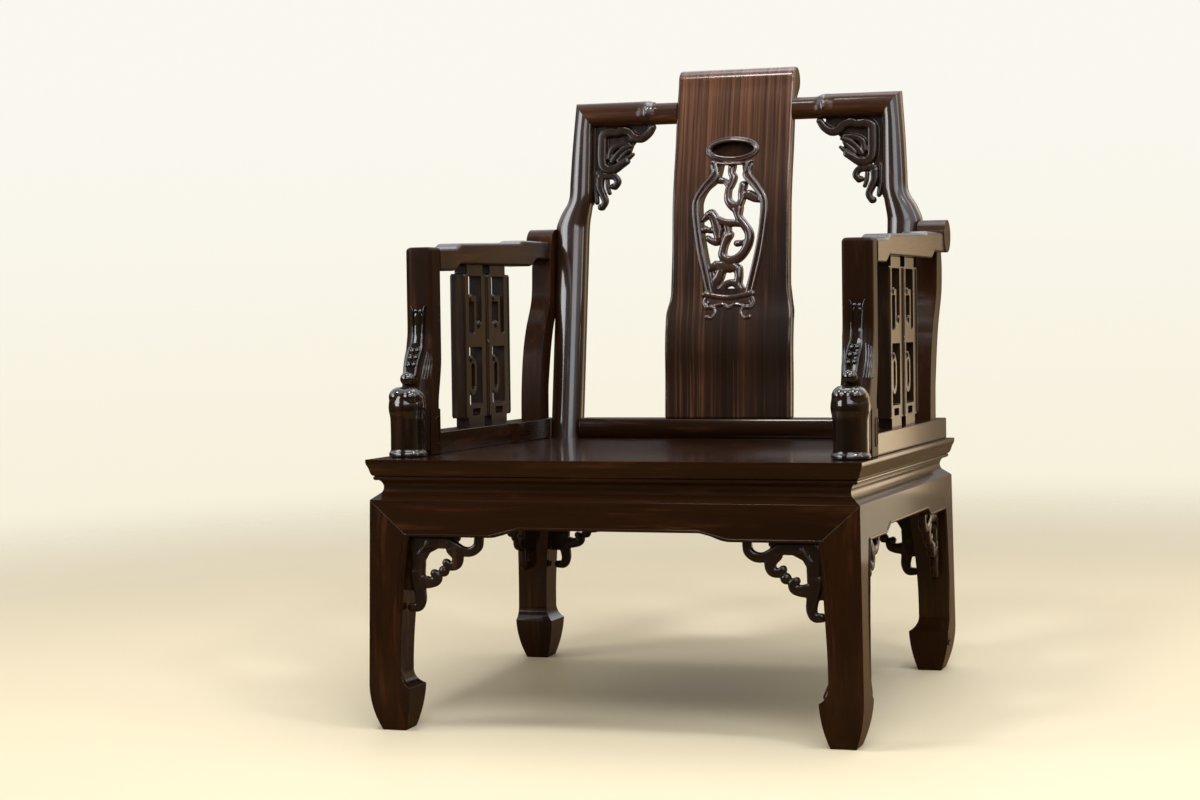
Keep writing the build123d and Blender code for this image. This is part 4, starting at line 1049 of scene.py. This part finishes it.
def branch():
    """The flowering branch, bird and rock that fill the vase, set back into its opening."""

    def limb(path, width, height=9.0):
        return stroke(path, np.array(width) * 1.4, height, BRANCH_LIFT, 0.62)

    loop = [(10, 737), (12.3, 722.7), (20, 712), (28, 700), (29.6, 690), (26.3, 677.3), (18.8, 665), (8, 656.7),
            (-5, 655.5), (-13.6, 662.9), (-12, 676), (-8, 687), (-2.8, 695.9)]
    return [
        knob(-0.6, 804, 5.4, BRANCH_LIFT + 2, 1.5),
        limb([(-1, 804), (-1.7, 793), (1.8, 786), (-1.7, 773), (-5, 768), (-6, 752), (0, 743), (10, 736)],
             [4.6, 3.8, 4.4, 3.6, 3.8, 4.2, 5.4, 6.6]),
        limb([(-21, 782), (-11, 779.5), (-4, 771)], [4.4, 3.4, 3.4]),
        limb(loop, [6.8, 4.2, 4.6, 4.8, 5, 5, 5, 5.4, 5.4, 5, 4.4, 4.6, 5], 9.5),
        knob(-3, 695, 5.6, BRANCH_LIFT + 3, 1.3),
        limb([(-24, 650), (-12, 646), (2, 645), (10, 642)], [4, 6.4, 7.4, 5]),
        limb([(12, 642), (13, 630), (12, 618), (17, 606)], [5, 4.6, 4.6, 6]),
        limb([(10, 737), (16.6, 750), (16.6, 760), (18.8, 774)], [5, 4, 4.4, 4.6]),
        limb([(17, 757), (28, 757.5), (38, 753), (50, 748)], [3.4, 6.0, 5.4, 3], 8.5),
        limb([(-46, 719), (-38, 727), (-32, 730)], [2.4, 4, 5]),
        knob(-33, 730, 6.4, BRANCH_LIFT + 3, 1.2),
        limb([(-32, 728), (-26.6, 718.6), (-22.2, 704.2), (-20.1, 689.7)], [5.6, 5.6, 6.6, 4.6], 9.5),
        limb([(-26, 722), (-18, 718), (-9.3, 714.5), (8, 713.4), (18, 712)], [4, 4.6, 4.6, 4.2, 4]),
        limb([(-20, 690), (-24, 683.5), (-33, 687), (-38, 691)], [4.4, 4, 3.8, 3.4]),
        knob(-42.5, 704.5, 6.8, BRANCH_LIFT + 4),
        limb([(-36, 703), (-24, 703)], 3.6, 8),
        limb([(-8, 714), (-6, 706.5), (-5, 700)], [4, 4.4, 4], 8.5),
        knob(10.2, 681.5, 5.6, BRANCH_LIFT + 3, 1.2),
        limb([(10.2, 681.5), (20, 683), (27, 686)], [4, 3.2, 3], 8),
        limb([(-42, 640), (-34, 643), (-22, 646.5), (-13.6, 638)], [4, 4.6, 4.8, 4.6]),
        limb([(-15, 640), (-20, 627), (-30, 616), (-32, 606)], [5.4, 6, 5.6, 5]),
        limb([(-30, 632), (-26, 622)], [5, 5], 8),
        limb([(-18, 608), (-8, 617), (3, 620), (12, 615)], [4.4, 4.2, 4.2, 4]),
    ]


# ---- corner pieces of the back
SPANDREL_FACE = 12.0


def spandrel(side, sign):
    """A squared scroll with a leaf in it over a small hanging scroll."""

    def place(u, v, w):
        z = RAIL_UNDER - v
        return sign * (MITRE_INNER - u), back_line(z) + SPANDREL_FACE - w, z

    ground = [(-3, -6), (92, -6), (90, 8), (76, 20), (66, 32), (60, 48), (46, 62), (28, 70), (14, 72), (8, 90),
              (-2, 128), (-3, 60)]
    band = [(99, 4), (92, 14), (80, 21.5), (68, 19), (60, 11), (48, 8), (40, 10.5), (26, 10), (16, 15),
            (14.5, 28), (14.5, 56), (18, 66), (26, 70), (36, 69), (46, 63), (56, 57)]
    band_width = [5.4, 6.2, 6.8, 6.8, 6.8, 7.2, 7, 7.6, 8, 8, 8, 7.6, 7.4, 7.2, 6.4, 5.4]
    square = 0.5
    strokes = [
        slab(ground, -12, -6.5),
        stroke(band, band_width, 6.0, -3.6, square),
        knob(99, 4, 5.6, -2.4),
        stroke([(27, 52), (31, 38), (44, 31), (60, 29.5)], [4.6, 5.4, 4.6, 3.4], 5.4, -4.4, square),
        stroke([(31, 58), (40, 46), (50, 38), (64, 33)], [4.4, 4.4, 4, 2.8], 5.6, -3.8, square),
        stroke([(42, 57), (50, 48), (60, 39)], [4.2, 4, 2.8], 5.2, -4.2, square),
        stroke([(52, 56), (60, 51), (66, 46)], [3.6, 3.6, 2.6], 5, -4.4, square),
        stroke([(10, 80.5), (24, 80), (36, 82), (41, 90), (36, 98)], [5.4, 5.6, 5.6, 5.4, 5], 5.6, -4.2,
               square),
        knob(33, 97, 5.2, -3.0, 0.9),
        stroke([(11, 84), (11, 98), (16, 110), (20, 121), (15, 131)], [6.8, 6.6, 6, 5.4, 4.6], 5.8, -4.0,
               square),
        knob(13, 130, 5.6, -3.0, 0.9),
        stroke([(2, 76), (2, 100), (5, 122)], [5, 5, 4], 4, -8),
        stroke([(23, 88), (24, 99), (27, 108)], [3.4, 3.4, 3], 5, -4.6, square),
    ]
    mesh = bend_into_place(carving(strokes, rounds=2), place)
    show(f"back_spandrel_{side}", "carved", mesh, CARVED)


# ---- brackets under the aprons
BRACKET_CORNER = 57.0
BRACKET_FACE = 14.0


def bracket(side, end, at_end):
    """A pierced cloud-scroll bracket between a leg and an apron."""
    on_side = on_face(side, lambda v: BRACKET_FACE, at_end)

    def place(u, v, w):
        return on_side(BRACKET_CORNER + u, APRON_EDGE - v, w)

    ground = [(-10, 0), (74, 0), (74, 5), (60, 17), (42, 17), (28, 24), (22, 34), (21, 56), (14, 76), (-10, 76)]
    square = 0.6
    strokes = [
        slab(ground, -11, -4),
        stroke([(58, 10), (68, 15), (80, 20.5), (92, 20), (101, 13), (103, 2)], [8.4, 7.6, 7, 7, 6.8, 6.4],
               6, -5.0, square),
        stroke([(62, 18), (71, 27), (69, 38), (60, 41), (54, 36)], [7.4, 8.2, 7.8, 6.6, 5.4], 6, -4.6, square),
        knob(50.5, 48, 8.0, -4.6, 0.8),
        stroke([(14, 62), (27, 64), (38, 62), (41, 55), (36, 51)], [8.6, 9, 7.6, 6.8, 5.4], 6, -4.6, square),
        stroke([(10, 50), (14, 72), (16, 88), (12, 98), (2, 99)], [11, 9.6, 8.2, 7, 6], 6, -4.8, square),
        stroke([(8, 8), (12, 28), (12, 52)], [9, 10.6, 10], 6, -5.4, square),
        stroke([(10, 8), (36, 9), (60, 9)], [8.4, 8.4, 8.2], 6, -5.4, square),
        stroke([(28, 9), (22, 17), (15, 26)], 1.6, 2.2, 0.2),
    ]
    mesh = bend_into_place(carving(strokes, 0.9), place)
    show(f"bracket_{side}_{end}", "carved", mesh, CARVED)


def brackets():
    """Two brackets on each side, named after the sides that it comes from and leads to."""
    sides = list(FACES)
    for k, side in enumerate(sides):
        bracket(side, sides[k - 1], False)
        bracket(side, sides[(k + 1) % 4], True)


# ---- camera, light, floor
# The camera's yaw, pitch and roll in degrees, and its place in metres, in the frame of the seat.
CAMERA_ANGLES = (18.72, -1.99, -0.77)
CAMERA_PLACE = (1.0688, -3.1721, 0.5754)
CAMERA_LENS = 75.22
FAR = 60
WALL_COLOUR = (0.955, 0.935, 0.865)
FLOOR_COLOUR = (0.93, 0.87, 0.69)
ROOM_SHADE = (0.042, 0.028, 0.014)
ROOM_LIGHT = (0.26, 0.18, 0.10)
CEILING_LIGHT = (1.25, 1.28, 1.4)
SOFT_LIGHT = (0.28, 0.23, 0.16)
COOL = (0.90, 0.94, 1.0)
WARM = (1.0, 0.96, 0.87)
LAMPLIGHT = (1.0, 0.98, 0.96)
FLOOR_RADIUS = 3.2
FLOOR_SIDES = 96


def camera():
    """Looks at the chair from its front right, level with the seat."""
    yaw, pitch, roll = (math.radians(angle) for angle in CAMERA_ANGLES)
    level = Matrix.Rotation(math.pi / 2 + pitch, 4, "X")
    turn = Matrix.Rotation(yaw, 4, "Z") @ level @ Matrix.Rotation(roll, 4, "Z")
    eye = linked("camera", bpy.data.cameras.new("camera"))
    eye.data.lens = CAMERA_LENS
    eye.data.clip_end = FAR
    eye.matrix_world = STAND @ Matrix.Translation(CAMERA_PLACE) @ turn
    bpy.context.scene.camera = eye


def panel(name, place, aim, size, watts, colour, mirrored_only=False):
    """A soft rectangular light, its width and height in metres; a mirrored-only one leaves matt wood dark."""
    light = bpy.data.lights.new(name, "AREA")
    light.shape = "RECTANGLE"
    light.size, light.size_y = size
    light.energy = watts
    light.color = colour
    body = linked(name, light)
    body.location = place
    body.rotation_euler = (Vector(aim) - Vector(place)).to_track_quat("-Z", "Y").to_euler()
    body.visible_diffuse = not mirrored_only


def pale_room():
    """A dim room, plain to the eye, that the lacquer mirrors with a lit side and a bright ceiling."""
    world = bpy.data.worlds.new("pale_room")
    world.use_nodes = True
    bpy.context.scene.world = world
    tree = world.node_tree
    direction = Signal(tree, tree.nodes.new("ShaderNodeTexCoord").outputs["Generated"])
    x, y, z = (direction.node("ShaderNodeSeparateXYZ", None, {0: direction}, output=axis) for axis in range(3))
    seen = direction.node("ShaderNodeLightPath", output="Is Camera Ray")
    mirrored = direction.node("ShaderNodeLightPath", output="Is Glossy Ray")
    towards_wall = (x * 0.75 + y * 0.5 + z * 0.35).between(0.1, 0.95)
    room = towards_wall.blend(ROOM_SHADE, ROOM_LIGHT)
    towards_viewer = ((x * -0.40 + y * -0.92) / (1.001 - z * z) ** 0.5).between(0.90, 0.98)
    overhead = z.between(0.10, 0.36) * (1 - towards_viewer)
    around_chair = mirrored.blend(SOFT_LIGHT, overhead.blend(room, CEILING_LIGHT))
    wall = z.between(-0.16, 0.06).blend(FLOOR_COLOUR, WALL_COLOUR)
    fill(tree.nodes["Background"], {"Color": seen.blend(around_chair, wall)})


def lamps():
    """A lit wall behind the chair's right side, windows on both sides and soft lamps above."""
    panel("lit_wall", (1.20, 1.35, 1.2), (1.05, 0, 0.8), (1.1, 2.3), 10, (1.0, 0.72, 0.44), True)
    panel("low_wall", (1.20, 1.35, 0.20), (1.05, 0, 0.1), (1.1, 0.4), 1.1, (1.0, 0.86, 0.62), True)
    panel("left_window", (-2.2, -1.05, 1.8), (0, 0.1, 0.6), (0.7, 1.8), 16, WARM)
    panel("right_window", (2.3, -0.45, 1.8), (0, 0.1, 0.6), (0.5, 1.8), 10, WARM)
    panel("left_wall", (-1.95, -1.95, 1.35), (0, 0, 0.8), (1.1, 1.3), 36, COOL, True)
    panel("front_wall", (0.9, -4.4, 1.95), (0, 0, 0.8), (2.4, 0.8), 20, COOL, True)
    panel("lamp_left", (-0.42, -0.75, 2.5), (-0.3, -0.2, 0.5), (0.34, 0.34), 12, LAMPLIGHT)
    panel("lamp_right", (1.26, -0.9, 2.5), (0.3, -0.2, 0.5), (0.34, 0.34), 12, LAMPLIGHT)
    panel("ceiling_front", (0.7, -2.2, 2.7), (0, 0, 0.5), (2.0, 1.0), 44, (0.98, 0.97, 0.96))
    panel("ceiling_back", (0.3, 0.6, 2.8), (0, 0, 0.5), (1.8, 1.2), 24, (1.0, 0.98, 0.95))


def floor():
    """A plain pale floor that fades into the room; polished wood mirrors it as a browner one."""
    ring = [(FLOOR_RADIUS * math.cos(a), FLOOR_RADIUS * math.sin(a), 0.0) for a in around(FLOOR_SIDES)]
    mesh = mesh_from("floor", ring, [tuple(range(FLOOR_SIDES))])
    ground = linked("floor", mesh)
    material, shader, here = new_material("pale_floor")
    mirrored = here.node("ShaderNodeLightPath", output="Is Glossy Ray")
    distance = here.node("ShaderNodeVectorMath", {"operation": "LENGTH"}, {0: here}, output=1)
    fill(shader, {
        "Base Color": mirrored.blend((0.88, 0.81, 0.62), (0.20, 0.11, 0.03)),
        "Roughness": 0.55,
        "Specular IOR Level": 0.1,
        "Alpha": 1 - distance.between(1.1, 3.1),
    })
    mesh.materials.append(material)


base_and_seat()
for side in FACES:
    apron_bead(side)
legs()
for side, sign in (("left", -1), ("right", 1)):
    arm_post(side, sign)
    arm_rail(side)
    arm_fret(side)
    upright(side, sign)
    top_rail(side, sign)
    spandrel(side, sign)
splat()
brackets()
camera()
pale_room()
lamps()
floor()

bpy.context.scene.view_settings.view_transform = "Standard"
